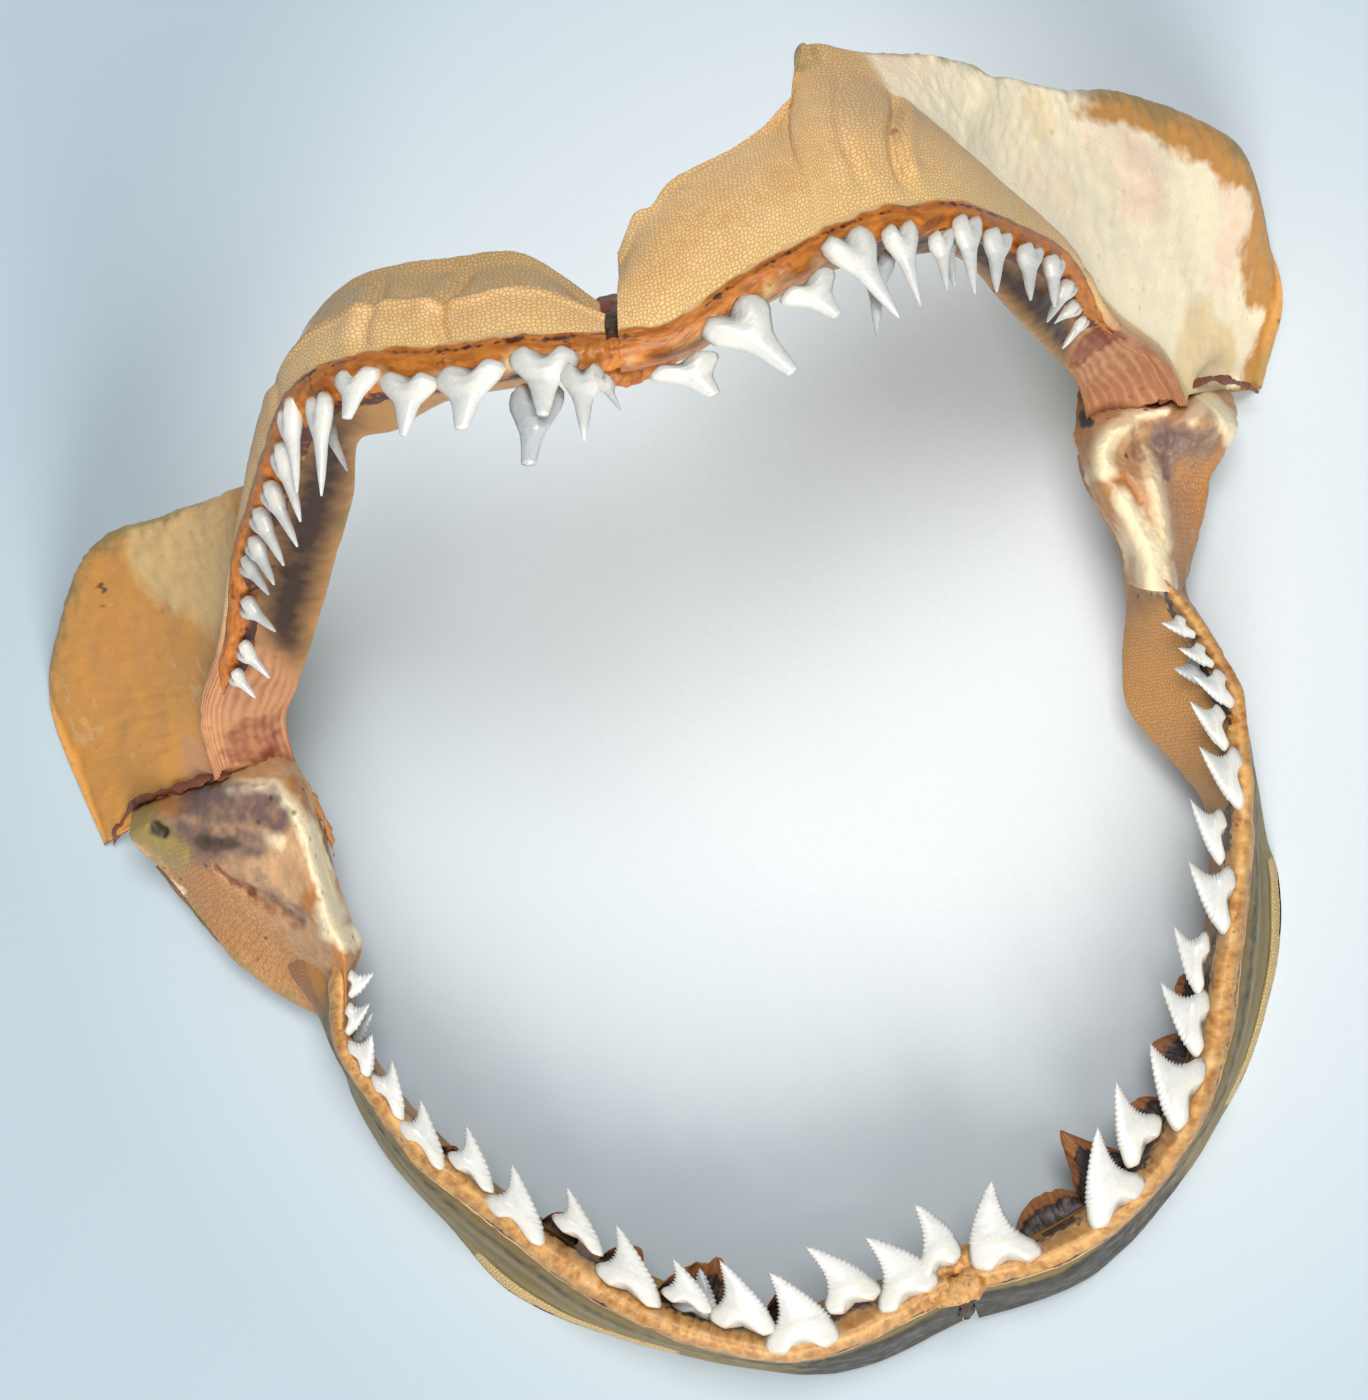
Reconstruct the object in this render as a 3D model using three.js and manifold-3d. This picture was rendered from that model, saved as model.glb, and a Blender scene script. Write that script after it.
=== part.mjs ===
// Dried jaws of a requiem shark, life size, in millimetres, +Z up, lying open on a level surface.
// +Y points to the chin (the lower symphysis), -Y to the snout (the upper symphysis), +X to the animal's right.
import * as THREE from 'three';
import { mergeVertices } from 'three/addons/utils/BufferGeometryUtils.js';
import Module from 'manifold-3d';

const wasm = await Module();
wasm.setup();

// ---- driving dimensions (mm) ----
const CORNER_GAP = 0.6; // clearance at the corners of touching pieces, which leaves about 0.35 on their faces
const BAND_LABIAL = 6; // width of the dental membrane on the outer face of the rim
const BAND_LINGUAL = 9; // and on its inner face
const BAND_TAPER = 0.45; // how much of those widths is left at the joint end
const BAND_THICK = 1.6; // how far it stands proud of the cartilage
const TOOTH_THICK = { lower: 4.2, upper: 3.6 }; // thickness of a tooth's root
const SLIVER = 0.05; // corners this near to a straight edge or flat face are merged after a cut
const ROOT_SEAT = 1.6; // how far above the rim the middle of a root sits
const ROOT_LINE = 0.1; // the part of a tooth's height that is root
const LEAN = { lower: 20, upper: 42 }; // degrees that the tooth rows lean into the mouth
const CENTRE = { x: 5, y: -46 }; // middle of the specimen's box, in the stations' own frame

// Thicknesses of a cartilage across its outer face, and how far its faces bulge, symphysis first, joint last.
const LOWER_FORM = {
  crestThick: [9, 6],
  plateThick: [6, 4],
  edgeThick: [3, 2.6],
  labialBulge: 3,
  lingualBulge: 2,
  sectionsPerStation: 2,
};
const UPPER_FORM = {
  crestThick: [8, 6],
  plateThick: [6, 5],
  edgeThick: [4, 3.5],
  labialBulge: 1.6,
  lingualBulge: 1.2,
  sectionsPerStation: 1,
};

// Stations from the symphysis to the joint. Each line of points runs along one feature of the cartilage:
// rim, where the teeth stand; crest, where the outer face turns; margin, its free edge; lingual, its inner edge.
const LOWER_RIGHT = {
  rim: [[3, 47, 188], [16, 46, 187], [34, 50, 184], [43, 52, 181], [52, 54, 177], [66, 53, 169], [78, 51, 158], [88, 45, 143],
    [98, 38, 122], [106, 27, 88], [118, 16, 58], [123, 5, 40]],
  crest: [[10, 65, 172], [23, 75, 167], [42, 79, 161], [51, 82, 155], [62, 92, 147], [76, 83, 140], [85, 73, 130], [93, 60, 116],
    [102, 42, 108], [112, 27, 84], [124, 16, 55], [129, 4, 38]],
  margin: [[11, 69, 168], [22, 78, 164], [41, 81, 158], [53, 86, 152], [62, 98, 143], [75, 93, 134], [93, 88, 116], [117, 77, 86],
    [137, 71, 62], [163, 52, 30], [169, 26, 0], [152, 0, -1]],
  lingual: [[3, 47, 165], [17, 46, 163], [35, 50, 160], [44, 51, 157], [53, 52, 152], [67, 50, 143], [78, 46, 132], [85, 34, 118],
    [92, 25, 98], [100, 17, 70], [103, 12, 50], [104, 7, 36]],
};
const LOWER_LEFT = {
  rim: [[1, 48, 188], [-13, 54, 186], [-28, 58, 180], [-42, 64, 172], [-56, 67, 158], [-66, 63, 142],
    [-77, 55, 118], [-87, 47, 98], [-98, 32, 78], [-111, 20, 58], [-116, 8, 42]],
  crest: [[3, 57, 173], [-6, 72, 168], [-20, 78, 161], [-37, 84, 153], [-54, 81, 141], [-68, 73, 122],
    [-79, 62, 102], [-89, 48, 88], [-102, 34, 70], [-114, 22, 52], [-120, 8, 38]],
  margin: [[4, 61, 168], [-6, 76, 164], [-19, 82, 157], [-38, 87, 148], [-53, 85, 130], [-66, 75, 106],
    [-79, 64, 88], [-104, 66, 62], [-130, 66, 34], [-159, 36, -1], [-159, 3, 0]],
  lingual: [[-1, 48, 165], [-15, 52, 163], [-31, 56, 158], [-43, 55, 150], [-52, 57, 138], [-59, 49, 118],
    [-70, 39, 96], [-81, 29, 74], [-92, 19, 56], [-99, 13, 44], [-102, 2, 34]],
};
const UPPER_RIGHT = {
  rim: [[0, -171, 31], [19, -174, 31], [41, -171, 31], [62, -159, 31], [75, -145, 31], [84, -130, 31], [94, -113, 32],
    [102, -97, 33], [107, -83, 34], [111, -67, 36], [110, -53, 38], [106, -36, 41], [106, -23, 43], [104, -9, 44],
    [105, 0, 42]],
  crest: [[0, -182, 16], [25, -185, 16], [51, -175, 16], [73, -161, 14], [85, -149, 14], [95, -134, 14],
    [103, -116, 15], [107, -102, 17], [112, -85, 19], [114, -70, 21], [114, -55, 24], [112, -38, 27],
    [115, -27, 28], [119, -12, 28], [120, -2, 27]],
  margin: [[0, -188, 4], [27, -190, 3], [55, -179, 0], [79, -162, -1], [91, -150, -1], [104, -132, -1],
    [111, -115, -1], [111, -104, 5], [114, -87, 8], [116, -72, 10], [117, -57, 12], [115, -41, 12], [122, -29, 11],
    [132, -14, 12], [140, -6, 14]],
  lingual: [[-1, -170, 16], [17, -170, 16], [38, -165, 16], [58, -154, 16], [72, -141, 16], [81, -127, 16],
    [90, -112, 16], [98, -92, 16], [96, -80, 15], [90, -62, 15], [93, -49, 17], [100, -34, 20], [102, -22, 24],
    [100, -6, 26], [101, 1, 26]],
};
const UPPER_LEFT = {
  rim: [[-4, -171, 31], [-22, -173, 31], [-44, -172, 31], [-63, -161, 31], [-78, -146, 31], [-90, -128, 31],
    [-100, -111, 31], [-109, -94, 31], [-114, -77, 32], [-116, -63, 34], [-111, -50, 37], [-107, -37, 40],
    [-106, -25, 42], [-105, -12, 43], [-107, -4, 42]],
  crest: [[-4, -182, 16], [-26, -184, 16], [-45, -180, 16], [-67, -168, 15], [-87, -152, 14], [-100, -134, 14],
    [-111, -114, 16], [-117, -98, 17], [-120, -80, 18], [-121, -64, 21], [-122, -51, 24], [-125, -36, 26],
    [-128, -23, 28], [-130, -12, 30], [-131, -4, 30]],
  margin: [[-4, -187, 4], [-27, -189, 3], [-46, -185, 2], [-70, -171, 0], [-92, -154, -1], [-107, -137, -1],
    [-115, -115, 0], [-121, -96, 5], [-123, -80, 8], [-122, -63, 10], [-125, -53, 10], [-134, -40, 10],
    [-140, -30, 10], [-144, -17, 11], [-147, -7, 12]],
  lingual: [[-3, -170, 16], [-24, -167, 16], [-42, -166, 16], [-58, -157, 16], [-73, -143, 16], [-84, -124, 16],
    [-94, -107, 16], [-100, -91, 16], [-108, -75, 16], [-109, -60, 17], [-107, -47, 20], [-106, -38, 24],
    [-106, -29, 26], [-104, -19, 28], [-103, -10, 28]],
};

// Teeth of a row: place along the rim in stations, root width, height, slant towards the joint in degrees,
// and how far the root's middle stands in from the rim.
const TEETH = {
  lower_left: [[0.05, 4, 10, -30, 6], [0.3, 8, 18, -7, 3], [0.8, 12, 17, -4, -1], [1.7, 14, 16, 7, 0],
    [2.5, 11, 14, -8, 1], [3.2, 10, 11, 12, -1], [3.8, 6, 21, -3, 2], [4.6, 8, 17, 25, -2], [5.3, 7, 15, 18, 1],
    [6.0, 6, 16, -15, 1], [6.6, 6, 16, -20, 2], [7.1, 6, 15, -20, 2], [7.6, 5, 11, -5, 1.5], [8.0, 5, 9, 8, 1.5]],
  lower_right: [[0.8, 13, 11, 22, 4], [1.5, 14, 20, 8, 0], [2.6, 13, 11, 5, 4], [4.0, 11, 20, 4, 0],
    [4.8, 8, 18, -11, 1], [5.4, 5, 14, -25, 4], [6.0, 8, 19, -21, 1], [6.6, 8, 18, -28, 2], [7.3, 8, 18, -35, 2],
    [7.9, 7, 14, -30, 1], [8.4, 6, 12, -30, 1], [8.8, 5, 10, -10, 1]],
  upper_right: [[0.6, 17, 22, 0, 1], [2.0, 17, 24, 22, 1], [2.65, 14, 20, 26, 7], [3.4, 18, 19, 28, 2],
    [4.4, 16, 16, 35, 4], [5.2, 15, 13, 42, 6], [6.0, 16, 16, 36, 2], [6.85, 13, 14, 44, 6], [7.8, 15, 15, 39, 1],
    [8.6, 11, 13, 42, 5], [9.2, 10, 12, 37, 1.5], [9.9, 7, 9, 42, 2.5], [10.4, 7, 8, 42, 2.5]],
  upper_left: [[-0.02, 12, 18, -7, 4], [0.55, 16, 20, 7, 1], [1.2, 14, 20, 16, 6], [1.9, 18, 23, 13, 0],
    [2.6, 16, 20, 27, 5], [3.3, 13, 13, 35, 7], [4.0, 18, 18, 37, 3], [4.8, 15, 14, 46, 7], [5.5, 18, 16, 38, 0],
    [6.3, 14, 13, 41, 3], [7.0, 16, 13, 43, 0], [7.8, 13, 11, 43, 1.5], [8.6, 10, 9, 30, 1.5], [9.4, 8, 8, 38, 2],
    [10.0, 7, 7, 27, 2]],
};

// Outlines of a tooth, one unit wide and one high, root at the bottom, +x towards the joint.
const LOWER_OUTLINE = [[-0.5, 0.04], [-0.3, -0.06], [0, 0.08], [0.3, -0.06], [0.5, 0.04], [0.16, 0.34],
  [0.09, 0.7], [0, 1], [-0.09, 0.7], [-0.16, 0.34]];
const UPPER_OUTLINE = [[-0.5, 0.06], [-0.3, -0.05], [0, 0.07], [0.3, -0.05], [0.5, 0.06], [0.24, 0.37],
  [0.13, 0.68], [0, 1], [-0.2, 0.7], [-0.37, 0.4]];

// ---- small helpers ----
const vec = (p) => new THREE.Vector3(p[0], p[1], p[2]);
const mix = (a, b, t) => a.clone().lerp(b, t);
const shift = (p, direction, distance) => p.clone().addScaledVector(direction, distance);
const ramp = (pair, t) => pair[0] + (pair[1] - pair[0]) * t;

function curvesOf(stations) {
  const curves = {};
  for (const [name, points] of Object.entries(stations)) {
    curves[name] = new THREE.CatmullRomCurve3(points.map(vec), false, 'catmullrom', 0.5);
  }
  return curves;
}

// A local frame at a place along the rim: tangent towards the joint, down the outer face, and out of it.
function frameAt(curves, t) {
  const clamped = Math.min(Math.max(t, 0), 1);
  const rim = curves.rim.getPoint(clamped);
  const step = 0.02;
  const before = curves.rim.getPoint(Math.max(clamped - step, 0));
  const tangent = curves.rim.getPoint(Math.min(clamped + step, 1)).sub(before).normalize();
  const down = curves.crest.getPoint(clamped).sub(rim);
  down.addScaledVector(tangent, -down.dot(tangent)).normalize();
  const out = tangent.clone().cross(down);
  const inner = curves.lingual.getPoint(clamped).sub(rim);
  if (out.dot(inner) > 0) out.negate();
  return { rim, tangent, down, out };
}

// The closed section of a cartilage: down its outer face from rim by crest to margin, and back inside.
function cartilageSection(curves, form, t) {
  const { rim, tangent, out } = frameAt(curves, t);
  const crest = curves.crest.getPoint(t);
  const margin = curves.margin.getPoint(t);
  const lingual = curves.lingual.getPoint(t);
  const wing = tangent.clone().cross(margin.clone().sub(crest)).normalize();
  if (wing.dot(out) < 0) wing.negate();
  const plate = mix(crest, margin, 0.5);
  const innerCrest = shift(crest, out, -ramp(form.crestThick, t));
  const under = mix(mix(innerCrest, lingual, 0.5), rim, 0.25);
  const innerWall = mix(lingual, rim, 0.5);
  return [
    rim,
    shift(mix(rim, crest, 0.33), out, form.labialBulge),
    shift(mix(rim, crest, 0.67), out, form.labialBulge),
    crest,
    plate,
    margin,
    shift(margin, wing, -ramp(form.edgeThick, t)),
    shift(plate, wing, -ramp(form.plateThick, t)),
    innerCrest,
    under,
    lingual,
    shift(innerWall, innerWall.clone().sub(crest).normalize(), form.lingualBulge),
  ];
}

// Joins closed sections into one closed solid, its ends filled from their middles.
function loft(sections) {
  const count = sections[0].length;
  const points = sections.flat();
  const faces = [];
  for (let s = 0; s + 1 < sections.length; s += 1) {
    for (let i = 0; i < count; i += 1) {
      const a = s * count + i;
      const b = s * count + ((i + 1) % count);
      faces.push([a, b, b + count], [a, b + count, a + count]);
    }
  }
  for (const s of [0, sections.length - 1]) {
    const middle = sections[s].reduce((sum, p) => sum.add(p), new THREE.Vector3()).divideScalar(count);
    points.push(middle);
    for (let i = 0; i < count; i += 1) {
      const a = s * count + i;
      const b = s * count + ((i + 1) % count);
      faces.push(s === 0 ? [b, a, points.length - 1] : [a, b, points.length - 1]);
    }
  }
  const solid = new wasm.Mesh({
    numProp: 3,
    vertProperties: new Float32Array(points.flatMap((p) => p.toArray())),
    triVerts: new Uint32Array(faces.flat()),
  });
  const made = new wasm.Manifold(solid);
  return made.volume() > 0 ? made : turnedOver(solid);
}

function turnedOver(solid) {
  const triVerts = new Uint32Array(solid.triVerts);
  for (let i = 0; i < triVerts.length; i += 3) {
    [triVerts[i], triVerts[i + 1]] = [triVerts[i + 1], triVerts[i]];
  }
  return new wasm.Manifold(new wasm.Mesh({ numProp: 3, vertProperties: solid.vertProperties, triVerts }));
}

function solidOf(geometry) {
  geometry.deleteAttribute('normal');
  geometry.deleteAttribute('uv');
  const merged = mergeVertices(geometry, 1e-4);
  const vertProperties = new Float32Array(merged.attributes.position.array);
  return new wasm.Manifold(new wasm.Mesh({ numProp: 3, vertProperties, triVerts: new Uint32Array(merged.index.array) }));
}

function geometryOf(manifold) {
  const { vertProperties, triVerts } = manifold.getMesh();
  const geometry = new THREE.BufferGeometry();
  geometry.setAttribute('position', new THREE.BufferAttribute(new Float32Array(vertProperties), 3));
  geometry.setIndex(new THREE.BufferAttribute(new Uint32Array(triVerts), 1));
  return geometry;
}

// The same solid with every corner pushed out along its normal, to cut a neighbour clear of it.
function grown(manifold, distance) {
  const geometry = geometryOf(manifold);
  geometry.computeVertexNormals();
  const { position, normal } = geometry.attributes;
  for (let i = 0; i < position.count; i += 1) {
    const corner = new THREE.Vector3().fromBufferAttribute(position, i);
    corner.addScaledVector(new THREE.Vector3().fromBufferAttribute(normal, i), distance);
    position.setXYZ(i, corner.x, corner.y, corner.z);
  }
  return solidOf(geometry);
}

// A cut can leave crumbs beside the piece: only its largest body is kept.
function largestBody(manifold) {
  return manifold.decompose().sort((a, b) => b.volume() - a.volume())[0];
}

// ---- sub-parts ----
function cartilage(curves, form) {
  const total = (curves.rim.points.length - 1) * form.sectionsPerStation;
  const sections = [];
  for (let i = 0; i <= total; i += 1) sections.push(cartilageSection(curves, form, i / total));
  return loft(sections);
}

// The dental membrane: a strip folded over the rim, from its outer face to its inner one.
function membrane(curves, from, to) {
  const steps = 15;
  const sections = [];
  for (let i = 0; i <= steps; i += 1) {
    const t = from + ((to - from) * i) / steps;
    const { rim, down, out } = frameAt(curves, t);
    const wall = curves.lingual.getPoint(t).sub(rim).normalize();
    const inward = shift(out, wall, -out.dot(wall)).normalize().negate();
    const narrowing = 1 - (1 - BAND_TAPER) * (i / steps) ** 2;
    const labial = shift(rim, down, BAND_LABIAL * narrowing);
    const lingual = shift(rim, wall, BAND_LINGUAL * narrowing);
    sections.push([
      shift(labial, out, BAND_THICK * 2),
      shift(shift(rim, down, -BAND_THICK * 1.4), out, BAND_THICK),
      shift(shift(rim, down, -BAND_THICK * 1.4), out, -BAND_THICK * 1.6),
      shift(lingual, inward, BAND_THICK * 2),
      mix(labial, lingual, 0.5),
    ]);
  }
  return loft(sections);
}

// One tooth: its outline extruded, thinned towards the tip, sheared by its slant and set on the rim.
// The root of a tooth that stands further in is longer, so that every root ends in the membrane.
function tooth(curves, jaw, [station, width, height, slant, inset]) {
  const { rim, tangent, down, out } = frameAt(curves, station / (curves.rim.points.length - 1));
  const lean = THREE.MathUtils.degToRad(LEAN[jaw]);
  const rise = down.clone().multiplyScalar(-Math.cos(lean)).addScaledVector(out, -Math.sin(lean));
  const face = tangent.clone().cross(rise);
  const tilt = THREE.MathUtils.degToRad(slant);
  const outline = jaw === 'lower' ? LOWER_OUTLINE : UPPER_OUTLINE;
  const shape = new THREE.Shape(outline.map(([x, y]) => new THREE.Vector2(x, y)));
  const blade = new THREE.ExtrudeGeometry(shape, { depth: 1, bevelEnabled: false });
  const position = blade.attributes.position;
  for (let i = 0; i < position.count; i += 1) {
    const [x, y, z] = [position.getX(i), position.getY(i), position.getZ(i)];
    const upwards = y * height;
    const seated = y < ROOT_LINE ? Math.min(upwards, upwards + ROOT_SEAT - inset) : upwards;
    const placed = shift(rim, rise, inset + seated * Math.cos(tilt));
    placed.addScaledVector(tangent, x * width + upwards * Math.sin(tilt));
    placed.addScaledVector(face, (z - 0.5) * TOOTH_THICK[jaw] * (1 - 0.78 * Math.max(y, 0)));
    position.setXYZ(i, placed.x, placed.y, placed.z);
  }
  return solidOf(blade);
}

// A row of teeth: its membrane and the separate teeth that stand in it.
function toothRow(curves, jaw, from, to, teeth) {
  return { strip: membrane(curves, from, to), teeth: teeth.map((each) => tooth(curves, jaw, each)) };
}

const joined = ({ strip, teeth }) => teeth.reduce((row, each) => row.add(each), strip).simplify(SLIVER);

// A pad of dried tissue: a round section carried along a few points, thickest in the middle.
function pad(points, radius, flatten = 1) {
  const curve = new THREE.CatmullRomCurve3(points.map(vec));
  const steps = 6;
  const sides = 7;
  const sections = [];
  for (let i = 0; i <= steps; i += 1) {
    const t = i / steps;
    const centre = curve.getPoint(t);
    const along = curve.getTangent(t);
    const side = new THREE.Vector3(0, 0, 1).cross(along).normalize();
    const up = along.clone().cross(side);
    const swell = radius * (0.55 + 0.45 * Math.sin(Math.PI * t));
    sections.push(Array.from({ length: sides }, (_, k) => {
      const angle = (2 * Math.PI * k) / sides;
      const ring = shift(centre, side, swell * flatten * Math.cos(angle));
      return ring.addScaledVector(up, swell * Math.sin(angle));
    }));
  }
  return loft(sections);
}

// ---- assembly ----
const lowerRight = curvesOf(LOWER_RIGHT);
const lowerLeft = curvesOf(LOWER_LEFT);
const upperRight = curvesOf(UPPER_RIGHT);
const upperLeft = curvesOf(UPPER_LEFT);

const above = solidOf(new THREE.BoxGeometry(600, 600, 400).translate(0, 0, 200));
const onFloor = (manifold) => manifold.intersect(above);

const rows = {
  lower_right: toothRow(lowerRight, 'lower', 0.03, 0.82, TEETH.lower_right),
  lower_left: toothRow(lowerLeft, 'lower', 0.03, 0.86, TEETH.lower_left),
  upper_right: toothRow(upperRight, 'upper', 0.02, 0.8, TEETH.upper_right),
  upper_left: toothRow(upperLeft, 'upper', 0.02, 0.76, TEETH.upper_left),
};
const pads = {
  lower_symphysis: pad([[4, 66, 168], [2, 58, 177], [2, 49, 182], [1, 47, 172]], 5, 0.4),
  upper_symphysis: pad([[-2, -186, 6], [-2, -182, 18], [-2, -173, 26], [-2, -169, 18]], 5, 0.4),
  jaw_joint_right: onFloor(pad([[104, 2, 38], [116, 0, 36], [128, -2, 27], [144, -4, 10]], 8)),
  jaw_joint_left: onFloor(pad([[-103, -3, 36], [-116, 1, 36], [-130, 0, 28], [-150, -2, 11]], 8)),
};

// A cartilage cut clear of the row on its rim and of the pads at its two ends.
function bone(curves, form, row, ...ends) {
  const cutters = [row.strip, ...row.teeth, ...ends].map((piece) => grown(piece, CORNER_GAP));
  const cut = cutters.reduce((left, cutter) => left.subtract(cutter), cartilage(curves, form));
  return largestBody(onFloor(cut).simplify(SLIVER));
}

const BONE = { color: 0xd3a777, roughness: 0.62, metalness: 0 };
const GREY_BONE = { color: 0x9a9072, roughness: 0.7, metalness: 0 };
const ENAMEL = { color: 0xe9e4d6, roughness: 0.28, metalness: 0 };
const TISSUE = { color: 0x8a5a38, roughness: 0.75, metalness: 0 };

const pieces = [
  ['lower_jaw_right', bone(lowerRight, LOWER_FORM, rows.lower_right, pads.lower_symphysis, pads.jaw_joint_right), BONE],
  ['lower_jaw_left', bone(lowerLeft, LOWER_FORM, rows.lower_left, pads.lower_symphysis, pads.jaw_joint_left), BONE],
  ['upper_jaw_right', bone(upperRight, UPPER_FORM, rows.upper_right, pads.upper_symphysis, pads.jaw_joint_right),
    GREY_BONE],
  ['upper_jaw_left', bone(upperLeft, UPPER_FORM, rows.upper_left, pads.upper_symphysis, pads.jaw_joint_left),
    GREY_BONE],
  ['lower_teeth_right', joined(rows.lower_right), ENAMEL],
  ['lower_teeth_left', joined(rows.lower_left), ENAMEL],
  ['upper_teeth_right', joined(rows.upper_right), ENAMEL],
  ['upper_teeth_left', joined(rows.upper_left), ENAMEL],
  ...Object.entries(pads).map(([name, manifold]) => [name, manifold, TISSUE]),
];

const group = new THREE.Group();
for (const [name, manifold, finish] of pieces) {
  const mesh = new THREE.Mesh(geometryOf(manifold), new THREE.MeshStandardMaterial(finish));
  mesh.name = name;
  mesh.position.set(-CENTRE.x, -CENTRE.y, 0);
  group.add(mesh);
}

export default group;
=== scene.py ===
"""Dried jaws of a requiem shark, life size, lying open on a pale floor.

Lengths are in millimetres in the specimen's own frame (+Z up, +Y to the chin, -Y to the snout, +X to the
animal's right) and become metres only when a mesh is written. Every surface is a function of two parameters,
worked out with numpy on a grid.
"""

from __future__ import annotations

import logging
import math
from dataclasses import dataclass, field
from enum import Enum
from typing import Iterable, Sequence

import bpy
import numpy as np
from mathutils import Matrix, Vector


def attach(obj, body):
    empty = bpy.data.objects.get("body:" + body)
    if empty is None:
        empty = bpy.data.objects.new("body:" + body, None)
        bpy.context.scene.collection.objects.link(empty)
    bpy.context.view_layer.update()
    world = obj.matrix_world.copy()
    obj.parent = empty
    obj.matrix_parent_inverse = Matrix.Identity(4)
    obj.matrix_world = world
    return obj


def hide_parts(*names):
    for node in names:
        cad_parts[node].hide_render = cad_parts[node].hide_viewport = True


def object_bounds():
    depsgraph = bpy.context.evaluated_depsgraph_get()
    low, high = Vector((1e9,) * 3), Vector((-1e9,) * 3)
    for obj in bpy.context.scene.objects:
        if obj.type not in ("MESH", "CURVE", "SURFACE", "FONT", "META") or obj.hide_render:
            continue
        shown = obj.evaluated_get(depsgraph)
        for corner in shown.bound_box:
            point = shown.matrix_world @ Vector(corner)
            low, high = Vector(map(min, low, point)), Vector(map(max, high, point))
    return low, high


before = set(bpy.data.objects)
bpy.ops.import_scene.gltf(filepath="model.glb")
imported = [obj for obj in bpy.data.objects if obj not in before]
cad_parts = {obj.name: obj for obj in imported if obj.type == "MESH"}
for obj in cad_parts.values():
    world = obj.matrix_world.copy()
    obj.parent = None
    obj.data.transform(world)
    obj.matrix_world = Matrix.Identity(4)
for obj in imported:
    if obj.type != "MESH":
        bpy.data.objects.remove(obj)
CAD_BOX = [list(corner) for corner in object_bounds()]

log = logging.getLogger("shark_jaws")

Array = np.ndarray
Triple = tuple[float, float, float]
Colour = tuple[float, float, float, float]
Masks = dict[str, Array]
Inputs = dict[str | int, object]
Socket, Node, NodeTree = bpy.types.NodeSocket, bpy.types.Node, bpy.types.NodeTree
Material, Object = bpy.types.Material, bpy.types.Object

MM = 0.001
CENTRE = np.array([5.0, -46.0, 0.0])
CLEARANCE = 0.05
KNEE = np.array([8.0, 2.0, 2.0])
SIDES = np.array([1.0, 1.0, 0.0])
UP = np.array([0.0, 0.0, 1.0])
HASH = (374761393, 668265263, 1274126177, 974634777)
BODY = "root"


# ---- Options ----


class Side(Enum):
    """Side of the animal."""

    LEFT = "left"
    RIGHT = "right"


class Jaw(Enum):
    """Which arch a piece belongs to."""

    LOWER = "lower"
    UPPER = "upper"


class Slot(Enum):
    """Material slots of the record."""

    LOWER = "cartilage_lower"
    UPPER = "cartilage_upper"
    TEETH = "teeth"
    TISSUE = "tissue"


# ---- Numbers on grids ----


def smooth(low: float | Array, high: float | Array, x: Array) -> Array:
    """Smoothstep: 0 below low, 1 above high, 3t^2 - 2t^3 between.

    Args:
        low: where the ramp starts.
        high: where it ends; below low for a falling ramp.
        x: values to map.

    Returns:
        Values from 0 to 1.
    """
    t = np.clip((x - low) / (high - low), 0.0, 1.0)
    return t * t * (3.0 - 2.0 * t)


def bump(x: Array, centre: float, width: float) -> Array:
    """Bell curve exp(-((x - centre) / width)^2)."""
    return np.exp(-(((x - centre) / width) ** 2))


def unit(v: Array) -> Array:
    """Vectors divided by their length."""
    return v / np.maximum(np.linalg.norm(v, axis=-1, keepdims=True), 1e-9)


def dot(a: Array, b: Array) -> Array:
    """Dot product over the last axis, which is kept."""
    return np.sum(a * b, axis=-1, keepdims=True)


def _lattice(ix: Array, iy: Array, iz: Array, seed: int) -> Array:
    """Hash of whole-number places: the sum of each times a prime, its bits stirred by shifts and one more product.

    Args:
        ix: whole-number places along x.
        iy: the same along y.
        iz: the same along z.
        seed: picks another pattern.

    Returns:
        Values from -1 to 1.
    """
    prime_x, prime_y, prime_z, prime_seed = HASH
    h = ix * prime_x + iy * prime_y + iz * prime_z + seed * prime_seed
    h = (h ^ (h >> 13)) * prime_z
    h = h ^ (h >> 16)
    return (h & 0xFFFFFF) / float(0x7FFFFF) - 1.0


def noise(points: Array, size: float, seed: int = 0) -> Array:
    """Value noise: random values on a cubic lattice, blended by smoothstep between its corners.

    Args:
        points: places, last axis x, y, z.
        size: lattice spacing in the same unit.
        seed: picks another pattern.

    Returns:
        Values from -1 to 1, one for each place.
    """
    p = points / size
    cell = np.floor(p).astype(np.int64)
    f = p - cell
    f = f * f * (3.0 - 2.0 * f)
    total = np.zeros(points.shape[:-1])
    for corner in range(8):
        dx, dy, dz = corner & 1, (corner >> 1) & 1, (corner >> 2) & 1
        weight = (
            np.where(dx, f[..., 0], 1 - f[..., 0])
            * np.where(dy, f[..., 1], 1 - f[..., 1])
            * np.where(dz, f[..., 2], 1 - f[..., 2])
        )
        total += weight * _lattice(cell[..., 0] + dx, cell[..., 1] + dy, cell[..., 2] + dz, seed)
    return total


def fractal(points: Array, size: float, seed: int = 0, octaves: int = 3) -> Array:
    """Sum of value noises, each of half the size and half the strength of the one before.

    Args:
        points: places, last axis x, y, z.
        size: lattice spacing of the first noise.
        seed: picks another pattern.
        octaves: how many noises.

    Returns:
        Values from about -1 to 1, one for each place.
    """
    total = np.zeros(points.shape[:-1])
    for octave in range(octaves):
        total += noise(points, size / 2**octave, seed + octave) / 2**octave
    return total / (2.0 - 2.0 ** (1 - octaves))


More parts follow.
